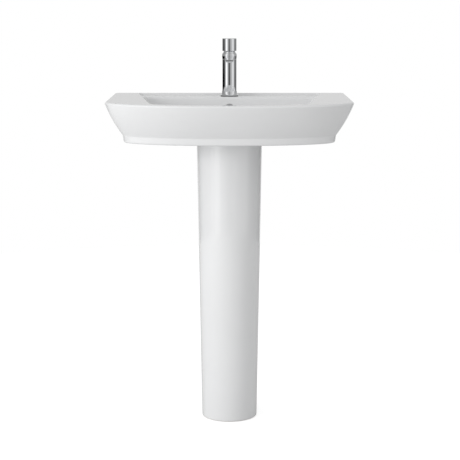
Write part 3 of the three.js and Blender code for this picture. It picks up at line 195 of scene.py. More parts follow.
def lathed(
    corners: Sequence[Corner],
    sides: int = 96,
    ripple: Callable[[float, float], float] | None = None,
    steps: int = 4,
) -> Shape:
    """Turns a profile round the Z axis.

    Args:
        corners: Radius, height and rounding of each corner; both ends on the axis, or a closed loop.
        sides: Facets round the axis.
        ripple: Given a radius and an angle, says how much is taken off the radius there.
        steps: Pieces in each rounded corner.

    Returns:
        The turned body.
    """
    closed = not (corners[0][0] == 0 and corners[-1][0] == 0)
    profile = softened(corners, closed, steps)
    points: list[Vector] = []
    rows: list[list[int]] = []
    for radius, height in profile:
        if radius <= 1e-6:
            rows.append([len(points)] * sides)
            points.append(Vector((0.0, 0.0, height)))
            continue
        row = []
        for side in range(sides):
            angle = math.tau * side / sides
            reach = radius - (ripple(radius, angle) if ripple else 0.0)
            row.append(len(points))
            points.append(Vector((reach * math.cos(angle), reach * math.sin(angle), height)))
        rows.append(row)
    faces = []
    pairs = list(zip(rows, rows[1:])) + ([(rows[-1], rows[0])] if closed else [])
    for lower, upper in pairs:
        for side in range(sides):
            after = (side + 1) % sides
            face = [lower[side], lower[after], upper[after], upper[side]]
            face = [corner for place, corner in enumerate(face) if corner != face[place - 1]]
            if len(face) > 2:
                faces.append(tuple(face))
    return Shape(points, faces)


def rod(radius: float, bottom: float, top: float, edge: float = 0.0, sides: int = 64) -> Shape:
    """Returns a solid round bar on the Z axis."""
    return lathed([(0, bottom), (radius, bottom, edge), (radius, top, edge), (0, top)], sides)


def sleeve(inner: float, outer: float, bottom: float, top: float, edge: float = 0.3) -> Shape:
    """Returns a tube on the Z axis."""
    return lathed([(inner, bottom, edge), (outer, bottom, edge), (outer, top, edge), (inner, top, edge)])


def stacked(rings: Sequence[Ring], looped: bool = False) -> Shape:
    """Skins a series of closed rings with the same number of points.

    Args:
        rings: The rings in order.
        looped: Whether the last ring joins the first; if not, both ends are capped.

    Returns:
        The skinned body.
    """
    count = len(rings[0])
    points = [point for ring in rings for point in ring]
    faces: list[tuple[int, ...]] = []
    steps = len(rings) if looped else len(rings) - 1
    for step in range(steps):
        low = step * count
        high = ((step + 1) % len(rings)) * count
        for place in range(count):
            after = (place + 1) % count
            faces.append((low + place, low + after, high + after, high + place))
    if not looped:
        faces.append(tuple(range(count - 1, -1, -1)))
        faces.append(tuple(range((len(rings) - 1) * count, len(rings) * count)))
    return Shape(points, faces)


def outward(ring: Ring) -> Ring:
    """Finds the outward direction at each point of a level ring.

    Args:
        ring: Points of one closed outline at one height.

    Returns:
        A unit vector for each point.
    """
    area = sum(ring[i - 1].x * ring[i].y - ring[i].x * ring[i - 1].y for i in range(len(ring)))
    sign = 1.0 if area > 0 else -1.0
    result = []
    for place in range(len(ring)):
        along = Vector(ring[(place + 1) % len(ring)]) - Vector(ring[place - 1])
        normal = Vector((along.y * sign, -along.x * sign, 0.0))
        result.append(normal.normalized())
    return result


def grown(ring: Ring, amount: float, height: float) -> Ring:
    """Returns a ring moved outwards by an amount and set at a height."""
    return [Vector((p.x + n.x * amount, p.y + n.y * amount, height)) for p, n in zip(ring, outward(ring))]


def prism(outline: Ring, bottom: float, top: float, edge: float = 0.4, steps: int = 3) -> Shape:
    """Raises an outline between two heights, with rounded edges.

    Args:
        outline: Points of the outline.
        bottom: Lower height.
        top: Upper height.
        edge: Radius of the rounded edges.
        steps: Pieces in each rounded edge.

    Returns:
        The raised body.
    """
    turn = quarter_turn(steps)
    rings = [grown(outline, -edge * across, bottom + edge * along) for across, along in turn]
    return stacked(rings + [grown(outline, -edge * along, top - edge * across) for across, along in turn])


def rounded_rectangle(width: float, depth: float, radius: float, steps: int = 5) -> Ring:
    """Returns the outline of a rectangle with round corners, centred on the axis."""
    ring = []
    for quadrant, (x, y) in enumerate(((1, 1), (-1, 1), (-1, -1), (1, -1))):
        centre = Vector((x * (width / 2 - radius), y * (depth / 2 - radius), 0))
        for step in range(steps + 1):
            angle = QUARTER * (quadrant + step / steps)
            ring.append(centre + radius * Vector((math.cos(angle), math.sin(angle), 0)))
    return ring


def block(
    width: float, depth: float, bottom: float, top: float, radius: float = 0.5, edge: float = 0.3,
) -> Shape:
    """Returns a rectangular bar with rounded corners and edges, the edges kept within the corners."""
    return prism(rounded_rectangle(width, depth, radius), bottom, top, min(edge, 0.8 * radius))


def hexagonal(flats: float, angle: float) -> float:
    """Returns the distance from the axis to a hexagon's edge at an angle."""
    return flats / 2 / math.cos(angle % (math.pi / 3) - math.pi / 6)


def nut(flats: float, bore: float, bottom: float, top: float, sides: int = 96) -> Shape:
    """Makes a hexagonal nut with turned-down corners and an eased bore.

    Args:
        flats: Width across the flats.
        bore: Radius of the hole.
        bottom: Lower face.
        top: Upper face.
        sides: Points round the axis.

    Returns:
        The nut.
    """
    ease = min(0.6, (top - bottom) * 0.1)
    face = flats / 2 * 0.97
    fall = math.tan(math.radians(30))

    def ring(height: float, radius: float = 0.0, turned: float = 0.0) -> Ring:
        """Returns a circle of a radius, or the hexagon with its corners turned up or down."""
        points = []
        for side in range(sides):
            angle = math.tau * side / sides
            reach = radius or hexagonal(flats, angle)
            rise = turned * ((reach - face) * fall)
            points.append(Vector((reach * math.cos(angle), reach * math.sin(angle), height + rise)))
        return points

    return stacked([
        ring(bottom + ease, bore), ring(bottom, bore + ease), ring(bottom, face), ring(bottom, turned=1.0),
        ring(top, turned=-1.0), ring(top, face), ring(top, bore + ease), ring(top - ease, bore),
    ], looped=True)


def threaded(
    radius: float, bottom: float, top: float, pitch: float, start: float, end: float,
) -> list[Corner]:
    """Lists the outside profile of a rod whose thread runs between two heights.

    Args:
        radius: Crest radius.
        bottom: Lower end of the rod.
        top: Upper end of the rod.
        pitch: Distance from crest to crest.
        start: Where the thread starts.
        end: Where the thread ends.

    Returns:
        The corners from the axis at the bottom to the axis at the top.
    """
    root = radius - 0.54 * pitch
    corners: list[Corner] = [(0, bottom), (root, bottom)]
    turns = int((end - start) / pitch)
    if start > bottom + pitch:
        corners = [(0, bottom), (radius - 0.4, bottom), (radius, bottom + 0.4), (radius, start - 0.2)]
    for turn in range(turns):
        height = start + turn * pitch
        for reach, share in ((root, 0.06), (root, 0.2), (radius, 0.56), (radius, 0.7)):
            corners.append((reach, height + share * pitch))
    last = start + turns * pitch
    if top > last + pitch:
        corners += [(radius, last + 0.2), (radius, top - 0.4), (radius - 0.4, top)]
    else:
        corners += [(root, top)]
    return corners + [(0, top)]


def directions(path: Sequence[Vector]) -> Ring:
    """Returns the way that a path goes at each of its points."""
    last = len(path) - 1
    return [(path[min(i + 1, last)] - path[max(i - 1, 0)]).normalized() for i in range(last + 1)]


def tube(path: Sequence[Vector], radius: float, sides: int = 36) -> Shape:
    """Sweeps a round bar along a path.

    Args:
        path: Points along the middle of the bar.
        radius: The bar's radius.
        sides: Facets round the bar.

    Returns:
        The bar with flat ends.
    """
    rings = []
    side = Vector((1, 0, 0))
    for point, along in zip(path, directions(path)):
        side = (side - along * side.dot(along)).normalized()
        up = along.cross(side)
        ring = []
        for step in range(sides):
            angle = math.tau * step / sides
            ring.append(point + radius * (math.cos(angle) * side + math.sin(angle) * up))
        rings.append(ring)
    return stacked(rings)


def ribs(count: int, depth: float, beyond: float) -> Callable[[float, float], float]:
    """Makes the ripple of a gripped collar.

    Args:
        count: Ribs round the collar.
        depth: Height of a rib.
        beyond: Only radii larger than this are ribbed.

    Returns:
        A function of radius and angle for lathed().
    """
    def ripple(radius: float, angle: float) -> float:
        """Returns how far the surface sinks between two ribs."""
        if radius <= beyond:
            return 0.0
        wave = 0.5 + 0.5 * math.cos(count * angle)
        return depth * (1 - min(1.0, 1.6 * wave) ** 2)
    return ripple


FORWARDS = Matrix.Rotation(QUARTER, 4, "X")        # +Z of a turned piece to -Y
BACKWARDS = Matrix.Rotation(-QUARTER, 4, "X")      # +Z of a turned piece to +Y
SIDEWAYS = Matrix.Rotation(QUARTER, 4, "Y")        # +Z of a turned piece to +X


# ---------------------------------------------------------------- finishes
class Slot(Enum):
    """The record's material slots."""

    CERAMIC = "ceramic"
    CHROME = "chrome"
    BRASS = "brass"
    COPPER = "copper"
    STEEL = "steel"
    RUBBER = "rubber"
    WHITE_PLASTIC = "white_plastic"
    GREY_PLASTIC = "grey_plastic"


Socket = bpy.types.NodeSocket


class Graph:
    """A node tree with a few shorthands."""

    def __init__(self, tree: bpy.types.NodeTree) -> None:
        """Starts with an empty tree."""
        self.tree = tree
        tree.nodes.clear()

    def node(self, kind: str, feeds: dict[str | int, object] | None = None) -> bpy.types.Node:
        """Adds a node.

        Args:
            kind: The node's type, without what every shader node's type starts with.
            feeds: For each input's name or number, the socket that feeds it or its value.

        Returns:
            The node.
        """
        node = self.tree.nodes.new(f"ShaderNode{kind}")
        self.feed(node, feeds or {})
        return node

    def feed(self, node: bpy.types.Node, feeds: dict[str | int, object]) -> None:
        """Links sockets to a node's inputs, or sets the inputs' values."""
        for name, feed in feeds.items():
            if isinstance(feed, Socket):
                self.tree.links.new(feed, node.inputs[name])
            else:
                node.inputs[name].default_value = feed

    def calculated(self, operation: str, first: Socket, second: Socket | float) -> Socket:
        """Works out one number from two."""
        node = self.node("Math")
        node.operation = operation
        self.feed(node, {0: first, 1: second})
        return node.outputs["Value"]

    def ranged(self, source: Socket, low: float, high: float, start: float = 0.3, end: float = 0.7) -> Socket:
        """Maps a pattern to the numbers between low and high."""
        feeds = {"From Min": start, "From Max": end, "To Min": low, "To Max": high, "Value": source}
        return self.node("MapRange", feeds).outputs["Result"]

    def blended(self, factor: Socket, first: Colour | Socket, second: Colour | Socket) -> Socket:
        """Mixes two colours by a factor."""
        colours = [item if isinstance(item, Socket) else (*item, 1.0) for item in (first, second)]
        node = self.node("Mix")
        node.data_type = "RGBA"
        self.feed(node, {0: factor, 6: colours[0], 7: colours[1]})
        return node.outputs[2]


class Surface(Graph):
    """A material with one principled shader."""

    def __init__(self, name: str) -> None:
        """Starts the material."""
        self.material = bpy.data.materials.new(name)
        self.material.use_nodes = True
        super().__init__(self.material.node_tree)
        self.shader = self.node("BsdfPrincipled")
        self.node("OutputMaterial", {"Surface": self.shader.outputs["BSDF"]})
        self.place = self.node("TexCoord").outputs["Object"]

    def noise(self, scale: float, detail: float = 3.0, stretch: Triple = (1, 1, 1)) -> Socket:
        """Adds a noise pattern fixed to the piece.

        Args:
            scale: Cells to the metre.
            detail: Octaves of the pattern.
            stretch: Multiplies the scale along each axis.

        Returns:
            The pattern's strength socket.
        """
        mapping = self.node("Mapping", {"Vector": self.place, "Scale": stretch})
        pattern = {"Vector": mapping.outputs["Vector"], "Scale": scale, "Detail": detail}
        return self.node("TexNoise", pattern).outputs["Fac"]

    def bumped(self, source: Socket, depth: float, under: Socket | None = None) -> Socket:
        """Adds relief of a depth in metres."""
        node = self.node("Bump", {"Strength": 1.0, "Distance": depth, "Height": source})
        if under is not None:
            self.tree.links.new(under, node.inputs["Normal"])
        return node.outputs["Normal"]

    def connect(self, source: Socket, name: str) -> None:
        """Feeds a socket of the shader."""
        self.tree.links.new(source, self.shader.inputs[name])

    def settle(self, **values: float | tuple[float, ...]) -> None:
        """Sets uniform values on the shader's own sockets, named with underscores for spaces."""
        for name, value in values.items():
            self.shader.inputs[name.replace("_", " ")].default_value = value


@dataclass(frozen=True)
class Finish:
    """A surface with two close tones, uneven gloss and a fine relief."""

    slot: Slot
    light: Colour
    dark: Colour
    mottle: float                    # patches to the metre
    gloss: tuple[float, float]       # smoothest and roughest value
    grain: float                     # relief cells to the metre
    depth: float                     # relief depth, metres
    metallic: float = 0.0
    coat: float = 0.0
    stretch: Triple = (1.0, 1.0, 1.0)

    def material(self) -> bpy.types.Material:
        """Returns the finish's material, made the first time that it is asked for."""
        name = f"{self.slot.value}_finish"
        if name in bpy.data.materials:
            return bpy.data.materials[name]
        graph = Surface(name)
        self.dress(graph)
        return graph.material

    def toned(self, graph: Surface) -> Socket:
        """Returns the two tones laid out in patches."""
        return graph.blended(graph.ranged(graph.noise(self.mottle), 0.0, 1.0), self.light, self.dark)

    def dress(self, graph: Surface) -> None:
        """Builds the nodes of the finish."""
        graph.connect(self.toned(graph), "Base Color")
        graph.connect(graph.ranged(graph.noise(self.mottle * 2.3), *self.gloss), "Roughness")
        graph.connect(graph.bumped(graph.noise(self.grain, 2.0, self.stretch), self.depth), "Normal")
        graph.settle(Metallic=self.metallic, Coat_Weight=self.coat, Coat_Roughness=0.04)


@dataclass(frozen=True)
class Glaze(Finish):
    """White glaze with a faint orange peel over a clay body that shows bare where it stood in the kiln."""

    clay: Colour = (0.78, 0.73, 0.66)
    bare_height: float = 0.0012      # the foot's unglazed edge, metres above the floor

    def dress(self, graph: Surface) -> None:
        """Builds the glaze, its waviness and the bare foot."""
        height = graph.node("SeparateXYZ", {"Vector": graph.place}).outputs["Z"]
        bare = graph.ranged(height, 1.0, 0.0, self.bare_height, self.bare_height + 0.0008)
        graph.connect(graph.blended(bare, self.toned(graph), self.clay), "Base Color")
        graph.connect(graph.ranged(graph.noise(self.mottle * 2.3), *self.gloss), "Roughness")
        peel = graph.bumped(graph.noise(self.grain, 1.0), self.depth)
        graph.connect(graph.bumped(graph.noise(9.0, 1.0), self.depth * 6.0, peel), "Normal")
        graph.settle(IOR=1.5, Coat_Weight=self.coat, Coat_Roughness=0.03, Coat_IOR=1.5)


@dataclass(frozen=True)
class Turned(Finish):
    """Machined metal with fine tool marks across the axis that it was turned on."""

    marks: float = 5200.0            # tool marks to the metre

    def dress(self, graph: Surface) -> None:
        """Builds the metal and its tool marks."""
        super().dress(graph)
        cut = graph.bumped(graph.noise(self.marks, 1.0, self.stretch), self.depth)
        graph.connect(graph.bumped(graph.noise(self.mottle * 1.7), self.depth * 4.0, cut), "Normal")


CERAMIC = Glaze(
    Slot.CERAMIC, (0.86, 0.865, 0.87), (0.84, 0.845, 0.85), 7.0, (0.05, 0.12), 240.0, 0.000004, coat=0.5,
)
CHROME = Finish(
    Slot.CHROME, (0.86, 0.87, 0.88), (0.82, 0.83, 0.85), 30.0, (0.02, 0.05), 60.0, 0.000004, metallic=1.0,
)
BRASS = Turned(
    Slot.BRASS, (0.86, 0.66, 0.30), (0.66, 0.46, 0.17), 90.0, (0.22, 0.38), 700.0, 0.000006, 1.0,
    stretch=(0.02, 0.02, 1.0),
)
COPPER = Turned(
    Slot.COPPER, (0.83, 0.44, 0.27), (0.52, 0.24, 0.13), 42.0, (0.18, 0.42), 300.0, 0.000006, 1.0,
    stretch=(1.0, 1.0, 0.03),
)
STEEL = Turned(
    Slot.STEEL, (0.68, 0.69, 0.70), (0.50, 0.51, 0.50), 110.0, (0.26, 0.44), 900.0, 0.000006, 1.0,
    stretch=(0.02, 1.0, 1.0),
)
RUBBER = Finish(
    Slot.RUBBER, (0.030, 0.031, 0.032), (0.016, 0.017, 0.018), 120.0, (0.62, 0.82), 2600.0, 0.00003,
)
WHITE_PLASTIC = Finish(
    Slot.WHITE_PLASTIC, (0.80, 0.80, 0.79), (0.74, 0.74, 0.72), 25.0, (0.30, 0.42), 3200.0, 0.000012,
)
GREY_PLASTIC = Finish(
    Slot.GREY_PLASTIC, (0.20, 0.205, 0.21), (0.14, 0.145, 0.15), 60.0, (0.40, 0.55), 3200.0, 0.000015,
)


# ---------------------------------------------------------------- workshop
class SubAssembly:
    """Turns shapes into dressed pieces that ride on their bodies."""

    origin: Vector

    def fit(self, node: str, shape: Shape, finish: Finish, body: str = "sink", name: str = "") -> None:
        """Makes a piece that stands for a node of the frame.

        Args:
            node: The node that the piece replaces.
            shape: Its shape, in millimetres from the sub-assembly's origin.
            finish: Its surface.
            body: The body that it rides on.
            name: Its own name, where one node is made of several pieces.
        """
        label = name or f"{node}_fine"
        mesh = shape.mesh(label)
        mesh.transform(Matrix.Translation(self.origin) @ Matrix.Scale(MILLIMETRE, 4))
        mesh.materials.append(finish.material())
        mesh.shade_smooth()
        mesh.set_sharp_from_angle(angle=SHARP_EDGE)
        piece = bpy.data.objects.new(label, mesh)
        bpy.context.scene.collection.objects.link(piece)
        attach(piece, body)
        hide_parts(node)
        log.info("%s: %d faces on %s", label, len(mesh.polygons), body)


def middle(node: str) -> Vector:
    """Returns the centre of a node's box, in metres."""
    low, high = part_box(node)
    return (low + high) / 2


# ---------------------------------------------------------------- basin
# Points along half of an outline's back, round its corner and down its side.
BACK_POINTS = 22
CORNER_POINTS = 24
SIDE_POINTS = 26
STOP_POINTS = 10                     # of the corner's, those round the ledge's own small corner
LEDGE_BLEND = 26.0                   # the ledge has its full section where it is this deep, millimetres
LEAST_HOLLOW = 4.0                   # where the bowl comes closer to the skirt, the ceramic is solid
RIM_DROP = 0.8                       # fall of the deck's rounded inner edge, as a share of its width


@dataclass
class Basin(SubAssembly):
    """The basin casting: tapering skirt, deck, sunk tap ledge, bowl, boss, seat and overflow duct."""

    width: float = 650.0
    depth: float = 480.0
    height: float = 107.0
    bow: float = 148.0
    taper: float = 45.0
    straight_share: float = 0.675
    front_ratio: float = 1.2
    bow_share: float = 0.82
    band: float = 19.0
    band_taper: float = 3.0
    lip: float = 5.0
    foot_edge: float = 4.0
    wall: float = 12.0
    back_corner: float = 9.0
    ledge_drop: float = 5.0
    ledge_margin: float = 16.0
    ledge_corner: float = 14.0
    ledge_depth: float = 92.0
    deck_thickness: float = 19.0
    bowl_half_width: float = 258.0
    narrowing: float = 0.137
    front_rim: float = 25.0
    bowl_bow: float = 65.0
    bowl_corner: float = 24.0
    side_power: float = 4.5
    floor_power: float = 1.6
    rim_edge: float = 3.0
    ledge_cove: float = 3.5
    ledge_nose: float = 8.0
    waste_setback: float = 243.0
    waste_hole: float = 23.0
    waste_counterbore: float = 33.0
    boss_radius: float = 42.0
    boss_height: float = 38.0
    seat_outer: float = 93.5
    seat_inner: float = 69.5
    seat_tail: float = 104.7
    tap_setback: float = 57.0
    tap_hole: float = 17.5
    bolt_spacing: float = 280.0
    bolt_drop: float = 58.0
    bolt_hole: float = 7.0
    overflow_drop: float = 37.0
    overflow_radius: float = 11.0
    overflow_lip: float = 14.3
    duct_width: float = 34.0
    duct_height: float = 20.0

    def __post_init__(self) -> None:
        """Finds the wall and the deck from the frame."""
        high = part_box("basin")[1]
        self.origin = Vector((0.0, high.y, high.z))
        self.floor = self.height - self.wall - 3.0
        self.centre = Vector((0.0, -self.waste_setback, 0.0))

    def spoke(self, point: Vector) -> Vector:
        """Returns the level line to a point from the waste's axis."""
        return Vector((point.x, point.y, 0.0)) - self.centre

    # -- plan outlines: the right half from the middle of the back to the middle of the front
    @staticmethod
    def mirrored(half: list[Place], height: float = 0.0) -> Ring:
        """Completes a ring from its right half, given as distances from the middle and from the wall."""
        right = [Vector((x, -forward, height)) for x, forward in half]
        left = [Vector((-point.x, point.y, height)) for point in reversed(right[1:-1])]
        return right + left

    @staticmethod
    def line(start: Place, end: Place, count: int) -> list[Place]:
        """Returns points along a straight line, without its end."""
        across, along = end[0] - start[0], end[1] - start[1]
        return [(start[0] + across * i / count, start[1] + along * i / count) for i in range(count)]

    @staticmethod
    def bend(start: Place, knee: Place, end: Place, count: int) -> list[Place]:
        """Returns points along a corner, without its end."""
        points = []
        for i in range(count):
            t = i / count
            weights = ((1 - t) ** 2, 2 * t * (1 - t), t * t)
            corners = list(zip(weights, (start, knee, end)))
            points.append(tuple(sum(weight * corner[axis] for weight, corner in corners) for axis in (0, 1)))
        return points

    @staticmethod
    def front(half_width: float, straight: float, bow: float, count: int = 54) -> list[Place]:
        """Returns the right half of the bowed front, with its end."""
        return [
            (half_width * math.cos(QUARTER * i / count), straight + bow * math.sin(QUARTER * i / count))
            for i in range(count)
        ] + [(0.0, straight + bow)]

    def inset(self, drop: float) -> float:
        """Returns how far the skirt has leaned in at a drop below the deck."""
        band_top = self.height - self.band
        if drop <= band_top:
            share = max(drop - self.lip, 0.0) / (band_top - self.lip)
            return self.taper * (self.straight_share * share + (1 - self.straight_share) * share * share)
        return self.taper + self.band_taper * min((drop - band_top) / self.band, 1.0)

    def skirt(self, drop: float, extra: float = 0.0, wall: float = 0.0) -> Ring:
        """Returns the skirt's outline at a drop below the deck.

        Args:
            drop: Distance below the deck.
            extra: Further inset of a rounded edge.
            wall: Thickness of ceramic taken off, for the inside.

        Returns:
            The closed ring.
        """
        inset = self.inset(drop) + extra
        half_width = self.width / 2 - wall - inset
        front_inset = inset * self.front_ratio
        bow_inset = front_inset * self.bow_share
        straight = self.depth - self.bow - (front_inset - bow_inset)
        back = wall + (extra if wall == 0 else 0.0)
        corner = max(self.back_corner - wall / 2 - extra / 2, 2.0)
        half = self.line((0.0, back), (half_width - corner, back), BACK_POINTS)
        side = (half_width, back + corner)
        half += self.bend((half_width - corner, back), (half_width, back), side, CORNER_POINTS)
        half += self.line(side, (half_width, straight), SIDE_POINTS)
        half += self.front(half_width, straight, self.bow - wall - bow_inset)
        return self.mirrored(half, -drop)

    def side_at(self, forward: float, grow: float = 0.0) -> float:
        """Returns half the bowl's width at a distance from the wall."""
        return self.bowl_half_width + grow - self.narrowing * forward

    def inner_half(self, back: float, corner: float, grow: float = 0.0) -> list[Place]:
        """Returns the right half of the outline of the ledge or of the bowl.

        Args:
            back: Wall to the outline's back edge.
            corner: Size of its back corners.
            grow: Thickness of ceramic added, for the outside of the bowl.

        Returns:
            Points from the middle of the back to the middle of the front.
        """
        meet = self.ledge_depth + self.bowl_corner
        straight = self.depth - self.front_rim + grow - self.bowl_bow
        width = self.side_at(back, grow)
        half = self.line((0.0, back), (width - corner, back), BACK_POINTS)
        end = (self.side_at(back + corner, grow), back + corner)
        start = (self.side_at(meet, grow), meet)
        short = end[1] < meet - 1
        bend_points = STOP_POINTS if short else CORNER_POINTS
        half += self.bend((width - corner, back), (width, back), end, bend_points)
        half += self.line(end, start, CORNER_POINTS - bend_points)
        tail = self.line(start, (self.side_at(straight, grow), straight), SIDE_POINTS)
        tail += self.front(self.side_at(straight, grow), straight, self.bowl_bow)
        return half + self.eased(tail)

    @staticmethod
    def eased(points: list[Place], passes: int = 40) -> list[Place]:
        """Eases the join between the straight side and the bowed front."""
        result = list(points)
        for _ in range(passes):
            fresh = list(result)
            for i in range(SIDE_POINTS - 9, SIDE_POINTS + 14):
                around = list(zip(result[i - 1], result[i], result[i + 1]))
                fresh[i] = tuple((before + 2 * here + after) / 4 for before, here, after in around)
            result = fresh
        return result

    def bowl_outline(self, grow: float = 0.0) -> Ring:
        """Returns the bowl's outline, grown by a thickness of ceramic."""
        return self.mirrored(self.inner_half(self.ledge_depth - grow, self.bowl_corner, grow))

    def shrink(self, share: float) -> float:
        """Returns the share of the bowl's width left at a share of its depth."""
        return max(1 - min(share, 1.0) ** self.floor_power, 0.0) ** (1 / self.side_power)

    def deepening(self, left: float) -> float:
        """Returns the share of the bowl's depth where a share of its width is left."""
        return (1 - left ** self.side_power) ** (1 / self.floor_power)

    def towards_waste(self, ring: Ring, left: float, height: float, circle: float = 0.0) -> Ring:
        """Returns a ring drawn in towards the waste.

        Args:
            ring: The bowl's outline.
            left: Share of its size that is left.
            height: Height of the new ring.
            circle: Radius of a circle that it turns into as it closes in, or 0.

        Returns:
            The new ring.
        """
        points = []
        for point in ring:
            spoke = self.spoke(point)
            place = spoke * left
            if circle > 0:
                share = smooth(min(max((0.55 - left) / 0.38, 0.0), 1.0))
                place = place.lerp(spoke.normalized() * max(circle, spoke.length * left * 0.82), share)
            points.append(Vector((self.centre.x + place.x, self.centre.y + place.y, height)))
        return points

    def around_waste(self, ring: Ring, radius: float, height: float) -> Ring:
        """Returns a circle round the waste with its points on the spokes of an outline."""
        points = []
        for point in ring:
            spoke = self.spoke(point).normalized()
            points.append(Vector((spoke.x * radius, self.centre.y + spoke.y * radius, height)))
        return points

    def rim_rings(self) -> list[Ring]:
        """Returns the rings from the skirt's bottom edge up to the inner edge of the deck."""
        foot, lip = self.foot_edge, self.lip
        rings = [self.skirt(self.height - foot * up, foot * inwards) for up, inwards in quarter_turn(4)[::-1]]
        band_top = self.height - self.band
        crease = (band_top + 3.5, band_top + 1.6, band_top, band_top - 1.8)
        rings += [self.skirt(drop) for drop in (self.height - 8, self.height - 12, *crease)]
        for step in range(1, 22):
            rings.append(self.skirt(band_top - 1.8 + (self.lip + 0.6 - band_top + 1.8) * step / 21))
        return rings + [self.skirt(lip * down, lip * inwards) for down, inwards in quarter_turn(6)]

    def bowl_rings(self, recess: Ring, bowl: Ring) -> list[Ring]:
        """Returns the rings from the inner edge of the deck down into the bowl's wall.

        Args:
            recess: Outline of the sunk ledge and the bowl's sides.
            bowl: Outline of the bowl alone.

        Returns:
            The rings in order.
        """
        sides = outward(recess)
        shares = [smooth(min((a - b).length / LEDGE_BLEND, 1.0)) for a, b in zip(recess, bowl)]
        rings = []
        for across, down in quarter_turn(5):
            rings.append([
                Vector((p.x + n.x * self.rim_edge * across, p.y + n.y * self.rim_edge * across,
                        -self.rim_edge * down * RIM_DROP))
                for p, n in zip(recess, sides)
            ])
        low = -self.rim_edge * RIM_DROP
        count = 22
        for step in range(1, count + 1):
            ring = []
            fall = low + (-self.ledge_drop - self.ledge_nose - low) * step / count
            for p, n, b, share in zip(recess, sides, bowl, shares):
                left = self.shrink(-fall / self.floor)
                plain = Vector((b.x * left, self.centre.y + (b.y - self.centre.y) * left, fall))
                if share > 0:
                    plain = plain.lerp(self.ledge_point(p, n, b, step, count), share)
                ring.append(plain)
            rings.append(ring)
        return rings

    def ledge_point(self, edge: Vector, normal: Vector, bowl: Vector, step: int, count: int) -> Vector:
        """Returns one point of the sunk ledge's section, from its back edge to the bowl's wall.

        Args:
            edge: The recess outline there.
            normal: The outline's outward direction.
            bowl: The bowl outline there.
            step: Which ring it is.
            count: How many rings there are.

        Returns:
            The point.
        """
        bends = 6
        noses = 8
        flats = count - bends - noses
        if step <= bends:
            angle = QUARTER * step / bends
            inward = self.ledge_cove * (1 - math.cos(angle))
            rim = self.rim_edge * RIM_DROP
            height = -rim - (self.ledge_drop - rim) * math.sin(angle)
            return Vector((edge.x - normal.x * inward, edge.y - normal.y * inward, height))
        start = edge - normal * (self.ledge_cove + 0.5)
        spoke = self.spoke(bowl)
        outwards = spoke.normalized()
        end = bowl + outwards * (self.ledge_nose + 0.3)
        if step <= bends + flats:
            share = (step - bends) / flats
            place = start.lerp(end, share)
            return Vector((place.x, place.y, -self.ledge_drop))
        angle = QUARTER * (step - bends - flats) / noses
        fall = self.ledge_drop + self.ledge_nose * (1 - math.cos(angle))
        left = self.shrink(fall / self.floor)
        place = self.centre + spoke * left + outwards * self.ledge_nose * (1 - math.sin(angle))
        return Vector((place.x, place.y, -fall))

    def casting(self) -> Shape:
        """Makes the basin as one closed skin, before its holes are cut."""
        recess = self.mirrored(self.inner_half(self.ledge_margin, self.ledge_corner))
        bowl = self.bowl_outline()
        rings = self.rim_rings()
        deck_edge = rings[-1]
        inner_edge = grown(recess, self.rim_edge, 0.0)
        for share in (0.03, 0.3, 0.65, 0.95):
            rings.append([a.lerp(b, share) for a, b in zip(deck_edge, inner_edge)])
        rings += self.bowl_rings(recess, bowl)
        start = (self.ledge_drop + self.ledge_nose) / self.floor
        steps = 30
        first = math.asin(start ** (self.floor_power / 2)) / QUARTER
        for step in range(1, steps):
            turned = QUARTER * (first + (0.975 - first) * step / (steps - 1))
            share = math.sin(turned) ** (2 / self.floor_power)
            left = self.shrink(share)
            rings.append(self.towards_waste(bowl, left, -self.floor * share, self.waste_counterbore + 3))
        bore, hole, boss = self.waste_counterbore, self.waste_hole, self.boss_radius
        bottom = -self.floor - self.boss_height
        for radius, height in (
            (bore + 2.0, -self.floor + 0.02), (bore + 0.8, -self.floor), (bore + 0.2, -self.floor - 0.3),
            (bore, -self.floor - 1.0), (bore, -self.floor - 2.8), (bore - 0.4, -self.floor - 3.0),
            (hole + 0.5, -self.floor - 3.0), (hole, -self.floor - 3.5), (hole, bottom + 0.6),
            (hole + 0.6, bottom), (boss - 2.0, bottom), (boss - 0.6, bottom + 0.6), (boss, bottom + 2.0),
            (boss, -self.floor - self.wall - 4.0),
        ):
            rings.append(self.around_waste(bowl, radius, height))
        return stacked(rings + self.underside_rings(self.bowl_outline(self.wall)), looped=True)

    def underside_rings(self, outer: Ring) -> list[Ring]:
        """Returns the rings from the boss along the hollow underside to the skirt's bottom edge.

        Args:
            outer: Outline of the bowl's outside.

        Returns:
            The rings in order.
        """
        thick = self.floor + self.wall
        drops = [self.deck_thickness + i for i in range(int(self.height - 8 - self.deck_thickness))]
        inner_skirt = {drop: self.skirt(drop, wall=self.wall) for drop in drops}
        tops = []
        for place, point in enumerate(outer):
            reach = self.spoke(point).length
            top = drops[-1]
            for drop in drops:
                room = self.spoke(inner_skirt[drop][place]).length - reach * self.shrink(drop / thick)
                if room > LEAST_HOLLOW:
                    top = drop
                    break
            tops.append(float(top))
        rings = []
        steps = 16
        for step in range(steps + 1):
            ring = []
            for point, top in zip(outer, tops):
                spoke = self.spoke(point)
                least = (self.boss_radius + 3.0) / spoke.length
                left = least + (self.shrink(top / thick) - least) * math.sin(QUARTER * step / steps)
                drop = min(thick * self.deepening(min(left, 0.9999)), thick)
                drop = max(drop, top)
                place = self.centre + spoke * left
                ring.append(Vector((place.x, place.y, -drop)))
            rings.append(ring)
        levels: dict[float, Ring] = {}
        for step in range(8):
            ring = []
            for place, top in enumerate(tops):
                drop = top + (self.height - 1.5 - top) * step / 7
                level = round(drop, 1)
                if level not in levels:
                    levels[level] = self.skirt(level, wall=self.wall)
                point = levels[level][place]
                ring.append(Vector((point.x, point.y, -drop)))
            rings.append(ring)
        rings.append(self.skirt(self.height, 1.5, self.wall - 3.0))
        return rings

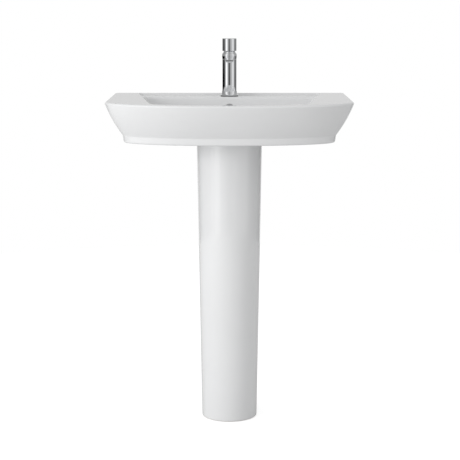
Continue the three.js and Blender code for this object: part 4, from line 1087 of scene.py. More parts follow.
    def bowl_back(self, drop: float) -> float:
        """Returns the distance from the wall to the back of the bowl at a drop below the deck."""
        return self.waste_setback - (self.waste_setback - self.ledge_depth) * self.shrink(drop / self.floor)

    def at_overflow(self) -> Matrix:
        """Returns the place of the overflow on the back of the bowl, with +Z out of the ceramic."""
        lean = math.atan(self.bowl_back(self.overflow_drop + 0.5) - self.bowl_back(self.overflow_drop - 0.5))
        place = Matrix.Translation((0.0, -self.bowl_back(self.overflow_drop), -self.overflow_drop))
        return place @ Matrix.Rotation(QUARTER - lean, 4, "X")

    def duct(self) -> Shape:
        """Makes the overflow duct that runs down behind the bowl and under its floor."""
        behind = self.bowl_back(self.overflow_drop) - self.wall
        low = self.floor + self.wall + 4.0
        route = [Vector((0, -behind, -24.0)), Vector((0, -behind, -60.0))]
        for step in range(1, 9):
            t = step / 8
            knee = Vector((0, -behind - 4.0, -low + 2.0))
            end = Vector((0, -behind - 46.0, -low))
            route.append(route[1] * (1 - t) ** 2 + knee * (2 * t * (1 - t)) + end * (t * t))
        route.append(Vector((0, -self.waste_setback + self.boss_radius - 6.0, -low)))

        def swept(width: float, height: float, radius: float, points: list[Vector]) -> Shape:
            """Sweeps a rounded section along the duct's route."""
            section = rounded_rectangle(width, height, radius)
            side = Vector((1, 0, 0))
            rings = []
            for point, along in zip(points, directions(points)):
                across = side.cross(along)
                rings.append([point + side * p.x + across * p.y for p in section])
            return stacked(rings)

        inner = [route[0] + Vector((0, 0, -5.0)), *route[1:]]
        inner[-1] = inner[-1] + Vector((0, -4.0, 0))
        hollow = swept(self.duct_width - 10, self.duct_height - 10, 2.0, inner)
        hole = rod(self.overflow_radius, -self.wall - 2.0, 3.0).moved(self.at_overflow())
        bowl = self.bowl_outline()
        drops = (6.0, 20.0, 34.0, 50.0, 64.0, 76.0)
        cavity = [self.towards_waste(bowl, self.shrink(drop / self.floor) + 0.02, -drop) for drop in drops]
        walls = swept(self.duct_width, self.duct_height, 5.0, route)
        return carved(walls, removed=[hollow, hole, stacked(cavity)])

    def seat(self) -> Shape:
        """Makes the flat seat under the bowl that rests on the pedestal."""
        path = []
        for step in range(9):
            path.append((Vector((1, 0, 0)), self.seat_tail * (1 - step / 8)))
        for step in range(1, 48):
            angle = math.pi * step / 48
            path.append((Vector((math.cos(angle), -math.sin(angle), 0)), 0.0))
        for step in range(9):
            path.append((Vector((-1, 0, 0)), self.seat_tail * step / 8))
        outer, inner, ease = self.seat_outer, self.seat_inner, 1.2
        section = (
            (outer - ease, 0.0, False), (outer, ease, False), (outer, 0.0, True),
            (inner, 0.0, True), (inner, ease, False), (inner + ease, 0.0, False),
        )
        rings = []
        for direction, back in path:
            ring = []
            for radius, base, at_bowl in section:
                x = direction.x * radius
                y = direction.y * radius + back
                share = min(math.hypot(x / 1.25, y) / (150.0 if y > 0 else 205.0), 0.97)
                top = -(self.floor + 6.0) * self.deepening(share)
                height = top if at_bowl else -self.height + base
                ring.append(Vector((x, y - self.waste_setback, height)))
            rings.append(ring)
        return stacked(rings)

    def overflow_ring(self) -> Shape:
        """Makes the plated ring in the overflow hole."""
        bore = self.overflow_radius - 2.5
        ring = lathed([
            (bore, -7.0), (self.overflow_radius - GAP, -7.0), (self.overflow_radius - GAP, -1.2),
            (self.overflow_lip - GAP, -1.2, 0.3), (self.overflow_lip - 1.0, 0.3, 0.5), (bore, 0.3, 0.6),
        ])
        return ring.moved(self.at_overflow())

    def build(self) -> None:
        """Makes and dresses the basin's pieces."""
        place = self.at_overflow()
        holes = [
            rod(self.tap_hole, -self.deck_thickness - 6, 1.0).shifted(y=-self.tap_setback),
            rod(self.overflow_radius, -self.wall - 6.0, 4.0).moved(place),
            rod(self.overflow_lip, -1.5, 8.0).moved(place),
        ]
        for side in (-1, 1):
            hole = rod(self.bolt_hole, -2.0, self.wall + 4).moved(FORWARDS)
            holes.append(hole.shifted(side * self.bolt_spacing / 2, 0.0, -self.bolt_drop))
        self.fit("basin", carved(self.casting(), removed=holes), CERAMIC)
        self.fit("basin", self.seat(), CERAMIC, name="basin_seat")
        self.fit("basin", self.duct(), CERAMIC, name="basin_overflow_duct")
        self.fit("overflow_ring", self.overflow_ring(), CHROME)


@dataclass
class WallFixings(SubAssembly):
    """Two bolts out of the wall, each with a washer and a nut inside the basin's back."""

    spacing: float = 280.0
    drop: float = 58.0
    bolt: float = 5.0
    length: float = 52.0
    pitch: float = 1.5
    wall: float = 12.0
    washer: float = 14.0
    flats: float = 17.0

    def build(self) -> None:
        """Makes and dresses both fixings."""
        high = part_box("basin")[1]
        washer_start = self.wall + GAP
        nut_start = washer_start + 2.5 + GAP
        for side, sign in (("left", -1), ("right", 1)):
            away, down = sign * self.spacing / 2 * MILLIMETRE, self.drop * MILLIMETRE
            self.origin = Vector((away, high.y, high.z - down))
            profile = threaded(self.bolt, GAP, self.length, self.pitch, 10.0, self.length - 1.0)
            bolt = lathed(profile, BORE_SIDES, steps=1)
            washer = sleeve(self.bolt + GAP, self.washer, washer_start, washer_start + 2.5, 0.5)
            fixing = nut(self.flats, self.bolt + GAP, nut_start, nut_start + 8)
            self.fit(f"wall_bolt_{side}", bolt.moved(FORWARDS), STEEL)
            self.fit(f"wall_bolt_washer_{side}", washer.moved(FORWARDS), GREY_PLASTIC)
            self.fit(f"wall_bolt_nut_{side}", fixing.moved(FORWARDS), STEEL)


# ---------------------------------------------------------------- pedestal
@dataclass
class Pedestal(SubAssembly):
    """Hollow pedestal, open at the back, with its bedding seal and floor screws."""

    top_radius: float = 87.5
    foot_radius: float = 75.0
    wall: float = 12.0
    tail: float = 100.0
    top_edge: float = 3.5
    foot_edge: float = 3.0
    back_edge: float = 4.5
    seal: float = 3.0
    web_depth: float = 26.0
    web_thickness: float = 14.0
    screw: float = 3.0
    screw_spacing: float = 86.0

    def __post_init__(self) -> None:
        """Finds the pedestal's axis and height from the frame."""
        low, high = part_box("pedestal")
        self.origin = Vector((0.0, middle("waste_flange").y, low.z))
        self.height = (high.z - low.z) / MILLIMETRE

    @staticmethod
    def corner(x: float, y: float, radius: float, start: float) -> Ring:
        """Returns a quarter circle about a point, clockwise from an angle."""
        centre = Vector((x, y, 0))
        angles = [start - QUARTER * step / 6 for step in range(7)]
        return [centre + radius * Vector((math.cos(angle), math.sin(angle), 0)) for angle in angles]

    def outline(self, radius: float, inner: float, tail: float, edge: float, steps: int = 72) -> Ring:
        """Returns the U-shaped section, open at the back.

        Args:
            radius: Outside radius of the front.
            inner: Inside radius of the front.
            tail: Axis to the back edges.
            edge: Rounding of the back edges.
            steps: Pieces in the half-round front.

        Returns:
            The closed ring.
        """
        ring = []
        for step in range(12):
            ring.append(Vector((radius, tail - edge - (tail - edge) * step / 12, 0)))
        for step in range(steps + 1):
            angle = -math.pi * step / steps
            ring.append(Vector((radius * math.cos(angle), radius * math.sin(angle), 0)))
        for step in range(1, 13):
            ring.append(Vector((-radius, (tail - edge) * step / 12, 0)))
        ring += self.corner(-radius + edge, tail - edge, edge, math.pi)[1:]
        ring += self.corner(-inner - edge, tail - edge, edge, QUARTER)
        for step in range(1, 13):
            ring.append(Vector((-inner, (tail - edge) * (1 - step / 12), 0)))
        for step in range(1, steps + 1):
            angle = -math.pi + math.pi * step / steps
            ring.append(Vector((inner * math.cos(angle), inner * math.sin(angle), 0)))
        for step in range(1, 13):
            ring.append(Vector((inner, (tail - edge) * step / 12, 0)))
        ring += self.corner(inner + edge, tail - edge, edge, math.pi)[1:]
        return ring + self.corner(radius - edge, tail - edge, edge, QUARTER)[1:-1]

    def section(self, height: float, inset: float = 0.0) -> Ring:
        """Returns the pedestal's section at a height, drawn in by an inset."""
        scale = 1 + (self.top_radius / self.foot_radius - 1) * height / self.height
        radius = self.foot_radius * scale
        ring = self.outline(radius, radius - self.wall, self.tail * scale, self.back_edge)
        return grown(ring, -inset, height)

    def column(self) -> Shape:
        """Makes the pedestal's wall with rounded edges at the foot and the top."""
        turn = quarter_turn(5)
        start = self.foot_edge + 2.0
        length = self.height - self.foot_edge - self.top_edge - 4.0
        rings = [self.section(self.foot_edge * up, self.foot_edge * inwards) for inwards, up in turn]
        rings += [self.section(start + length * step / 20) for step in range(20)]
        rings.append(self.section(self.height - self.top_edge - 2.0))
        top, edge = self.height, self.top_edge
        rings += [self.section(top - edge * down, edge * inwards) for down, inwards in turn]
        return stacked(rings)

    def floor_screw(self) -> Shape:
        """Makes a slotted pan-head screw."""
        head = self.web_thickness + 2 * GAP + 2.0
        shank = threaded(self.screw, GAP, head, 1.9, 1.0, head - 4.0)[:-1]
        body = lathed([
            *shank[:-1], (self.screw, head), (6.2, head, 0.3), (6.1, head + 1.6, 1.2), (4.2, head + 3.6, 2.0),
            (0, head + 4.0),
        ], SOCKET_SIDES)
        cross = ((8.0, 1.4), (1.4, 8.0))
        slots = [block(width, depth, head + 2.2, head + 6.0, 0.1, 0.05) for width, depth in cross]
        return carved(body, removed=slots)

    def build(self) -> None:
        """Makes and dresses the pedestal's pieces."""
        self.fit("pedestal", self.column(), CERAMIC)
        web_y = self.tail - 2 - self.web_depth / 2
        hole = rod(self.screw + 1, -1, self.web_thickness + 1)
        holes = [hole.shifted(sign * self.screw_spacing / 2, web_y) for sign in (-1, 1)]
        width = 2 * (self.foot_radius - self.wall / 2)
        web = block(width, self.web_depth, 0.0, self.web_thickness, 3.0, 2.5).shifted(y=web_y)
        self.fit("pedestal", carved(web, removed=holes), CERAMIC, name="pedestal_foot_web")
        scale = self.top_radius / self.foot_radius
        inner = self.top_radius - self.wall + 2
        seal = self.outline(self.top_radius - 2, inner, self.tail * scale - self.wall, 1.5, 60)
        bottom = self.height + GAP
        self.fit("bedding_seal", prism(seal, bottom, bottom + self.seal, 0.8), RUBBER)
        for side, sign in (("left", -1), ("right", 1)):
            place = Matrix.Translation((sign * self.screw_spacing / 2, web_y, 0))
            bottom = self.web_thickness + GAP
            bore = self.screw + GAP
            top = bottom + 2
            washer = lathed([(bore, bottom, 0.2), (8, bottom, 0.3), (7.4, top, 0.6), (bore, top, 0.3)], 64)
            self.fit(f"floor_screw_washer_{side}", washer.moved(place), WHITE_PLASTIC)
            self.fit(f"floor_screw_{side}", self.floor_screw().moved(place), STEEL)


# ---------------------------------------------------------------- tap
@dataclass
class MixerTap(SubAssembly):
    """Single-lever mixer: body, collar with its blade spout, cartridge, dome and handle."""

    radius: float = 19.8
    height: float = 160.0
    handle_height: float = 34.5
    neck_gap: float = 5.8
    collar_height: float = 17.2
    collar_bulge: float = 0.8
    base_radius: float = 25.0
    base_height: float = 11.0
    seal_thickness: float = 1.5
    cartridge: float = 12.6
    cartridge_height: float = 29.0
    rotor: float = 7.9
    stem: float = 3.8
    pin: float = 1.2
    dome: float = 18.0
    dome_wall: float = 1.8
    dome_sink: float = 4.0
    dome_hole: float = 9.6
    clearance: float = 1.0
    reach: float = 110.0
    spout_width: float = 24.0
    spout_thickness: float = 8.0
    slope: float = 0.065
    pipe: float = 5.0
    tail_spread: float = 15.0
    stud: float = 4.0
    stud_offset: float = 10.5

    def __post_init__(self) -> None:
        """Finds the tap's axis and the ledge from the frame, and works out the heights on it."""
        centre = middle("tap_base_flange")
        self.origin = Vector((0.0, centre.y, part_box("tap_base_seal")[0].z - GAP * MILLIMETRE))
        self.handle_bottom = self.height - self.handle_height
        self.collar_top = self.handle_bottom - self.neck_gap
        self.collar_bottom = self.collar_top - self.collar_height
        self.tilt = self.collar_top - self.dome_sink
        self.bore = self.cartridge + GAP
        self.neck = self.bore + 2.3
        self.cartridge_top = self.collar_top - 7.0
        self.cartridge_bottom = self.cartridge_top - self.cartridge_height
        self.seal_top = GAP + self.seal_thickness
        self.port = self.collar_bottom + self.spout_thickness / 2 + self.radius * self.slope + 2 * GAP
        self.tail_y = -self.stud_offset * 0.1
        self.tails = (-self.tail_spread / 2, self.tail_spread / 2)
        self.stem_top = self.handle_bottom + self.handle_height * 0.66
        self.channel_end = self.reach - 7.0

    def body(self) -> Shape:
        """Makes the upright barrel with its neck and bores."""
        bottom = self.seal_top + GAP
        barrel = lathed([
            (0, bottom), (self.radius, bottom, 0.4), (self.radius, self.collar_bottom, 0.45),
            (self.neck, self.collar_bottom, 0.2), (self.neck, self.collar_top - 0.8, 0.3),
            (self.bore, self.collar_top - 0.8, 0.3), (self.bore, self.cartridge_bottom - GAP, 0.3),
            (0, self.cartridge_bottom - GAP),
        ], BARREL_SIDES)
        cuts = []
        for x in self.tails:
            cuts.append(rod(self.pipe + GAP, -1, 24 + GAP, sides=BORE_SIDES).shifted(x, self.tail_y))
            cuts.append(rod(3.4, 20, self.cartridge_bottom, sides=BORE_SIDES).shifted(x, self.tail_y))
        cuts.append(rod(self.stud + GAP, -1, 16 + GAP, sides=BORE_SIDES).shifted(0, -self.stud_offset))
        port = rod(2.4, self.bore - 1, self.neck + 1, sides=BORE_SIDES)
        cuts.append(port.moved(FORWARDS).shifted(z=self.port))
        return carved(barrel, removed=cuts)

    def base_flange(self) -> Shape:
        """Makes the flared cover at the foot of the barrel."""
        inner = self.radius + GAP
        bottom = self.seal_top + GAP
        corners: list[Corner] = [(inner, bottom, 0.2), (self.base_radius, bottom, 0.4)]
        steps = 18
        for step in range(steps + 1):
            angle = QUARTER * step / steps
            radius = inner + 0.7 + (self.base_radius - inner - 0.7) * (1 - math.sin(angle))
            corners.append((radius, bottom + 1.2 + (self.base_height - 1.2) * (1 - math.cos(angle))))
        corners.append((inner, bottom + self.base_height, 0.2))
        return lathed(corners, BARREL_SIDES)

    def on_spout(self) -> Matrix:
        """Returns the place of the spout's sloping line."""
        return Matrix.Translation((0, 0, self.port)) @ Matrix.Rotation(self.slope, 4, "X")

    def blade(self) -> Shape:
        """Makes the spout's blade: flat on top, bellied underneath, with a softly rounded tip."""
        start = self.neck + GAP + 1.5
        half = self.spout_width / 2
        thick = self.spout_thickness

        def section(forward: float, inset: float) -> Ring:
            """Returns the blade's section at a distance from the axis."""
            corners = [(-half, thick / 2, 1.6), (half, thick / 2, 1.6), (half, thick / 2 - 2.4, 0.9)]
            belly = []
            for step in range(1, 20):
                x = half - 2 * half * step / 20
                drop = (thick - 2.6) * (1 - (abs(x) / half) ** 2.2) ** 0.75
                belly.append((x, thick / 2 - 2.4 - drop))
            corners += belly + [(-half, thick / 2 - 2.4, 0.9)]
            points = [Vector((x, z, 0)) for x, z in softened(corners, True, 5)]
            shrunk = grown(points, -inset, 0.0) if inset else points
            return [Vector((p.x, -forward, p.y)) for p in shrunk]

        rings = [section(start, 0.0), section(start + 20, 0.0), section(self.reach - 4.0, 0.0)]
        tip = 1.6
        rings.append(section(self.reach - tip - 0.4, 0.0))
        rings += [section(self.reach - tip * back, tip * inwards) for back, inwards in quarter_turn(5)]
        return stacked(rings).moved(self.on_spout())

    def spout(self) -> Shape:
        """Makes the collar and its blade as one piece."""
        inner = self.neck + GAP
        bottom = self.collar_bottom + GAP
        bulge = self.radius + self.collar_bulge
        ring = lathed([
            (inner, bottom, 0.2), (self.radius, bottom, 0.5), (bulge - 0.25, bottom + 3.0, 4.0),
            (bulge, bottom + self.collar_height / 2, 9.0), (bulge - 0.3, self.collar_top - 3.5, 4.0),
            (self.radius - 0.9, self.collar_top, 0.9), (inner, self.collar_top, 0.3),
        ], BARREL_SIDES, steps=6)
        channel = block(14.0, self.channel_end - inner + 1, -0.9, 1.7)
        channel = channel.shifted(0, -(self.channel_end + inner - 1) / 2)
        outlet = block(16.6, 7.6, -self.spout_thickness, 0.4, 1.4).shifted(0, -(self.channel_end - 3.5))
        return carved(ring, [self.blade()], [
            channel.moved(self.on_spout()),
            outlet.moved(self.on_spout()),
            rod(inner, bottom - 1, self.collar_top + 1, sides=BARREL_SIDES),
        ])

    def outlet(self) -> Shape:
        """Makes the slotted flow straightener under the tip of the spout."""
        underside = -self.spout_thickness / 2
        insert = block(16.0, 7.0, underside + 0.4, underside + 2.8, 1.1)
        slots = []
        for column in range(-3, 4):
            for row in (-1, 1):
                slots.append(block(1.5, 2.3, -6, 2, 0.3).shifted(column * 2.1, row * 1.5))
        return carved(insert, removed=slots).shifted(0, -(self.channel_end - 3.5)).moved(self.on_spout())

    def on_tilt_axis(self, radius: float, half: float, edge: float = 0.0) -> Shape:
        """Returns a round bar along the handle's tilt axis, as long to one side as to the other."""
        return rod(radius, -half, half, edge, 32).moved(SIDEWAYS).shifted(z=self.tilt)

    def cartridge_pieces(self) -> None:
        """Makes the ceramic-disc cartridge: housing, rotor, nut, stem and pin."""
        pocket = self.rotor + GAP
        pocket_floor = self.cartridge_bottom + 11
        housing = lathed([
            (0, self.cartridge_bottom), (self.cartridge, self.cartridge_bottom, 0.5),
            (self.cartridge, self.cartridge_top, 0.4), (pocket, self.cartridge_top, 0.3),
            (pocket, pocket_floor, 0.3), (0, pocket_floor),
        ])
        port = rod(2.6, self.cartridge_bottom - 1, pocket_floor + 1, sides=BORE_SIDES)
        ports = [port.shifted(x * 0.72, self.tail_y) for x in self.tails]
        outlet = rod(2.2, pocket - 1, self.cartridge + 1, sides=BORE_SIDES)
        ports.append(outlet.moved(FORWARDS).shifted(z=self.port))
        self.fit("cartridge_housing", carved(housing, removed=ports), WHITE_PLASTIC)
        top = self.collar_top + 1
        low = self.tilt - 5
        rotor = rod(self.rotor, pocket_floor + GAP, top, 0.5, 96)
        slot = block(2 * (self.stem + GAP), 2 * self.rotor + 2, low, top + 1, 0.2)
        hole = self.on_tilt_axis(self.pin + GAP, self.rotor + 1)
        self.fit("cartridge_rotor", carved(rotor, removed=[slot, hole]), GREY_PLASTIC, "mixing_rotor")
        bottom = self.cartridge_top + GAP
        ring = sleeve(pocket, self.cartridge, bottom, self.collar_top - 1, 0.4)
        notch = block(2.4, 6.0, self.collar_top - 3.2, self.collar_top, 0.2).shifted(0, self.cartridge)
        notches = [notch.moved(Matrix.Rotation(math.tau * turn / 6, 4, "Z")) for turn in range(6)]
        self.fit("cartridge_nut", carved(ring, removed=notches), BRASS)
        stem_bottom = self.tilt - 3.6
        stem = lathed([
            (0, stem_bottom), (self.stem, stem_bottom, 0.9), (self.stem, self.stem_top, 0.5),
            (0, self.stem_top),
        ], SOCKET_SIDES)
        hole = self.on_tilt_axis(self.pin + GAP, self.stem + 1)
        self.fit("cartridge_stem", carved(stem, removed=[hole]), STEEL, "handle")
        self.fit("cartridge_pin", self.on_tilt_axis(self.pin, self.rotor - 0.2, 0.25), STEEL, "handle")

    def arc(self, radius: float, low: float, high: float, steps: int) -> list[Corner]:
        """Returns a spherical arc about the tilt centre between two heights above it."""
        start, end = math.asin(low / radius), math.asin(high / radius)
        points: list[Corner] = []
        for step in range(steps + 1):
            angle = start + (end - start) * step / steps
            points.append((radius * math.cos(angle), self.tilt + radius * math.sin(angle)))
        return points

    def dome_cover(self) -> Shape:
        """Makes the domed cover that the handle tilts over."""
        foot = self.dome_sink + GAP
        inner = self.dome - self.dome_wall
        outside = self.arc(self.dome, foot, math.sqrt(self.dome ** 2 - self.dome_hole ** 2), 16)
        inside = self.arc(inner, foot, math.sqrt(inner ** 2 - self.dome_hole ** 2), 16)
        return lathed(outside + inside[::-1], BARREL_SIDES)

    def handle(self) -> Shape:
        """Makes the cylindrical handle with its hollow, socket and screw hole."""
        cylinder = lathed([
            (0, self.handle_bottom), (self.radius, self.handle_bottom, 0.7), (self.radius, self.height, 1.1),
            (0, self.height),
        ], BARREL_SIDES, steps=6)
        cavity_radius = self.dome + self.clearance
        low = self.handle_bottom - 1 - self.tilt
        arc = self.arc(cavity_radius, low, cavity_radius - 0.01, 20)
        cavity = lathed([(0, self.handle_bottom - 1), *arc, (0, self.tilt + cavity_radius)], BARREL_SIDES)
        socket = rod(self.stem + GAP, self.handle_bottom, self.stem_top + GAP, sides=SOCKET_SIDES)
        hole = rod(2 + GAP, 0, self.radius + 1, sides=BORE_SIDES)
        hole = hole.moved(BACKWARDS).shifted(z=self.stem_top - 6)
        return carved(cylinder, removed=[cavity, socket, hole])

    def handle_screw(self) -> Shape:
        """Makes the grub screw at the back of the handle, with its hexagonal socket."""
        body = rod(2.0, self.stem + GAP, self.radius - 5, 0.3, 40)
        angles = [math.tau * i / 6 for i in range(6)]
        corners = [Vector((1.1 * math.cos(angle), 1.1 * math.sin(angle), 0)) for angle in angles]
        socket = prism(corners, self.radius - 7.5, self.radius - 4, 0.05)
        return carved(body, removed=[socket]).moved(BACKWARDS).shifted(z=self.stem_top - 6)

    def build(self) -> None:
        """Makes and dresses the tap's pieces."""
        self.fit("tap_base_seal", sleeve(16.0, self.base_radius - 0.8, GAP, self.seal_top), RUBBER)
        self.fit("tap_base_flange", self.base_flange(), CHROME)
        self.fit("tap_body", self.body(), CHROME)
        self.fit("tap_spout", self.spout(), CHROME)
        self.fit("spout_outlet", self.outlet(), GREY_PLASTIC)
        self.cartridge_pieces()
        self.fit("cartridge_dome", self.dome_cover(), CHROME)
        self.fit("tap_handle", self.handle(), CHROME, "handle")
        self.fit("handle_screw", self.handle_screw(), STEEL, "handle")


@dataclass
class TapFixing(SubAssembly):
    """Stud, horseshoe seal and plate and nut that hold the tap from under the ledge."""

    stud: float = 4.0
    length: float = 72.0
    offset: float = 10.5
    into_tap: float = 16.0
    under: float = 14.0
    washer: float = 19.8
    notch: float = 27.4
    seal: float = 3.0
    plate: float = 2.0
    flats: float = 11.0

    def __post_init__(self) -> None:
        """Finds the tap's axis and the ledge from the frame."""
        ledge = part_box("tap_base_seal")[0].z - GAP * MILLIMETRE
        self.origin = Vector((0.0, middle("tap_base_flange").y, ledge))

    def horseshoe(self, bottom: float, top: float, edge: float) -> Shape:
        """Makes a round washer with a notch for the tails and a hole for the stud."""
        disc = lathed([(0, bottom), (self.washer, bottom, edge), (self.washer, top, edge), (0, top)])
        depth = self.washer + 8
        notch = block(self.notch, depth, bottom - 2, top + 2, 2.0, 0.1)
        notch = notch.shifted(0, depth / 2 - 6.2 - self.offset * 0.1)
        hole = rod(self.stud + GAP, bottom - 1, top + 1, sides=SOCKET_SIDES).shifted(0, -self.offset)
        return carved(disc, removed=[notch, hole])

    def build(self) -> None:
        """Makes and dresses the tap's fixing."""
        low = self.into_tap - self.length
        profile = threaded(self.stud, low, self.into_tap, 1.25, low + 0.5, self.into_tap - 0.5)
        stud = lathed(profile, BORE_SIDES, steps=1)
        self.fit("tap_fixing_stud", stud.shifted(0, -self.offset), STEEL)
        top = -self.under - GAP
        self.fit("tap_horseshoe_seal", self.horseshoe(top - self.seal, top, 0.5), RUBBER)
        top -= self.seal + GAP
        self.fit("tap_horseshoe_plate", self.horseshoe(top - self.plate, top, 0.3), STEEL)
        top -= self.plate + GAP
        fixing = nut(self.flats, self.stud + GAP, top - 14, top)
        self.fit("tap_fixing_nut", fixing.shifted(0, -self.offset), BRASS)


# ---------------------------------------------------------------- supplies
@dataclass
class Supply(SubAssembly):
    """One supply: the copper tail bent down to a stop valve with its spindle and nuts."""

    name: str = "hot"
    sign: int = -1
    pipe: float = 5.0
    tail_spread: float = 15.0
    valve_spread: float = 88.0
    tap_setback: float = 57.0
    valve_setback: float = 168.0
    valve_drop: float = 372.0
    valve_radius: float = 9.5
    valve_height: float = 34.0
    supply: float = 7.5
    deck_thickness: float = 19.0
    basin_height: float = 107.0
    ledge_drop: float = 5.0
    spindle: float = 3.6

    def tail(self) -> Shape:
        """Makes the bent copper tail."""
        y_top = -self.tap_setback - 1.05
        bend_start = -self.deck_thickness - 34
        bend_end = -self.basin_height - 96
        start = Vector((self.sign * self.tail_spread / 2, y_top, bend_start))
        end = Vector((self.sign * self.valve_spread / 2, -self.valve_setback, bend_end))
        pull = (bend_start - bend_end) * 0.55
        path = [Vector((start.x, start.y, -self.ledge_drop + 24)), Vector((start.x, start.y, -20.0))]
        steps = 48
        knees = (start, start - Vector((0, 0, pull)), end + Vector((0, 0, pull)), end)
        for step in range(steps + 1):
            t = step / steps
            weights = ((1 - t) ** 3, 3 * t * (1 - t) ** 2, 3 * t * t * (1 - t), t ** 3)
            path.append(sum((knee * weight for knee, weight in zip(knees, weights)), Vector()))
        bottom = -(self.valve_drop - self.valve_height / 2 + 8)
        path += [Vector((end.x, end.y, bend_end - 40)), Vector((end.x, end.y, bottom))]
        return tube(path, self.pipe)

    def valve(self) -> Shape:
        """Makes the valve's body with its bores and spindle boss."""
        half = self.valve_height / 2
        inlet = self.supply + 1.6
        middle_radius = self.valve_radius + 1.5
        outlet = self.pipe + 3
        barrel = lathed([
            (0, -half), (inlet, -half, 0.5), (inlet, -9.4, 0.2), (middle_radius, -7.4, 0.8),
            (middle_radius, 7.4, 0.8), (outlet, 9.4, 0.2), (outlet, half, 0.5), (0, half),
        ], 72)
        boss = lathed([(0, 0), (6.4, 0), (6.4, 13.4, 0.3), (5.9, 13.8, 0.2), (5.9, 15, 0.4), (0, 15)], 72)
        return carved(barrel, [boss.moved(BACKWARDS)], [
            rod(self.pipe + GAP, half - 8 - GAP, half + 1, sides=SOCKET_SIDES),
            rod(3.6, -half - 0.5, half + 0.5, sides=BORE_SIDES),
            rod(self.supply + GAP, -half - 1, -half + 7, sides=SOCKET_SIDES),
            rod(self.spindle + GAP, 4.5, 16, sides=BORE_SIDES).moved(BACKWARDS),
        ])

    def union_nut(self, flats: float, outer: float, inner: float) -> Shape:
        """Makes a hexagonal nut with a wide bore over the valve's end and a narrow one beyond it."""
        half = self.valve_height / 2
        return carved(nut(flats, inner, 10, half + 4), removed=[rod(outer, 9, half + GAP)])

    def build(self) -> None:
        """Makes and dresses the supply's pieces."""
        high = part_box("basin")[1]
        self.origin = Vector((0.0, high.y, high.z))
        self.fit(f"tail_{self.name}", self.tail(), COPPER)
        valve = middle(f"stop_valve_{self.name}")
        self.origin = Vector((valve.x, high.y - self.valve_setback * MILLIMETRE, valve.z))
        self.fit(f"stop_valve_{self.name}", self.valve(), BRASS)
        profile = [(0, 5), (self.spindle, 5, 0.3), (self.spindle, 15.6, 0.4), (0, 15.6)]
        spindle = lathed(profile, SOCKET_SIDES).moved(BACKWARDS)
        slot = block(1.2, 3.0, -4, 4, 0.1, 0.05).shifted(y=15.8)
        spindle = carved(spindle, removed=[slot])
        self.fit(f"stop_valve_spindle_{self.name}", spindle, BRASS, f"{self.name}_spindle")
        upper = self.union_nut(21, self.pipe + 3 + GAP, self.pipe + GAP)
        self.fit(f"tail_nut_{self.name}", upper, BRASS)
        lower = self.union_nut(24, self.supply + 1.6 + GAP, self.supply + GAP)
        self.fit(f"inlet_nut_{self.name}", lower.moved(Matrix.Rotation(math.pi, 4, "X")), BRASS)


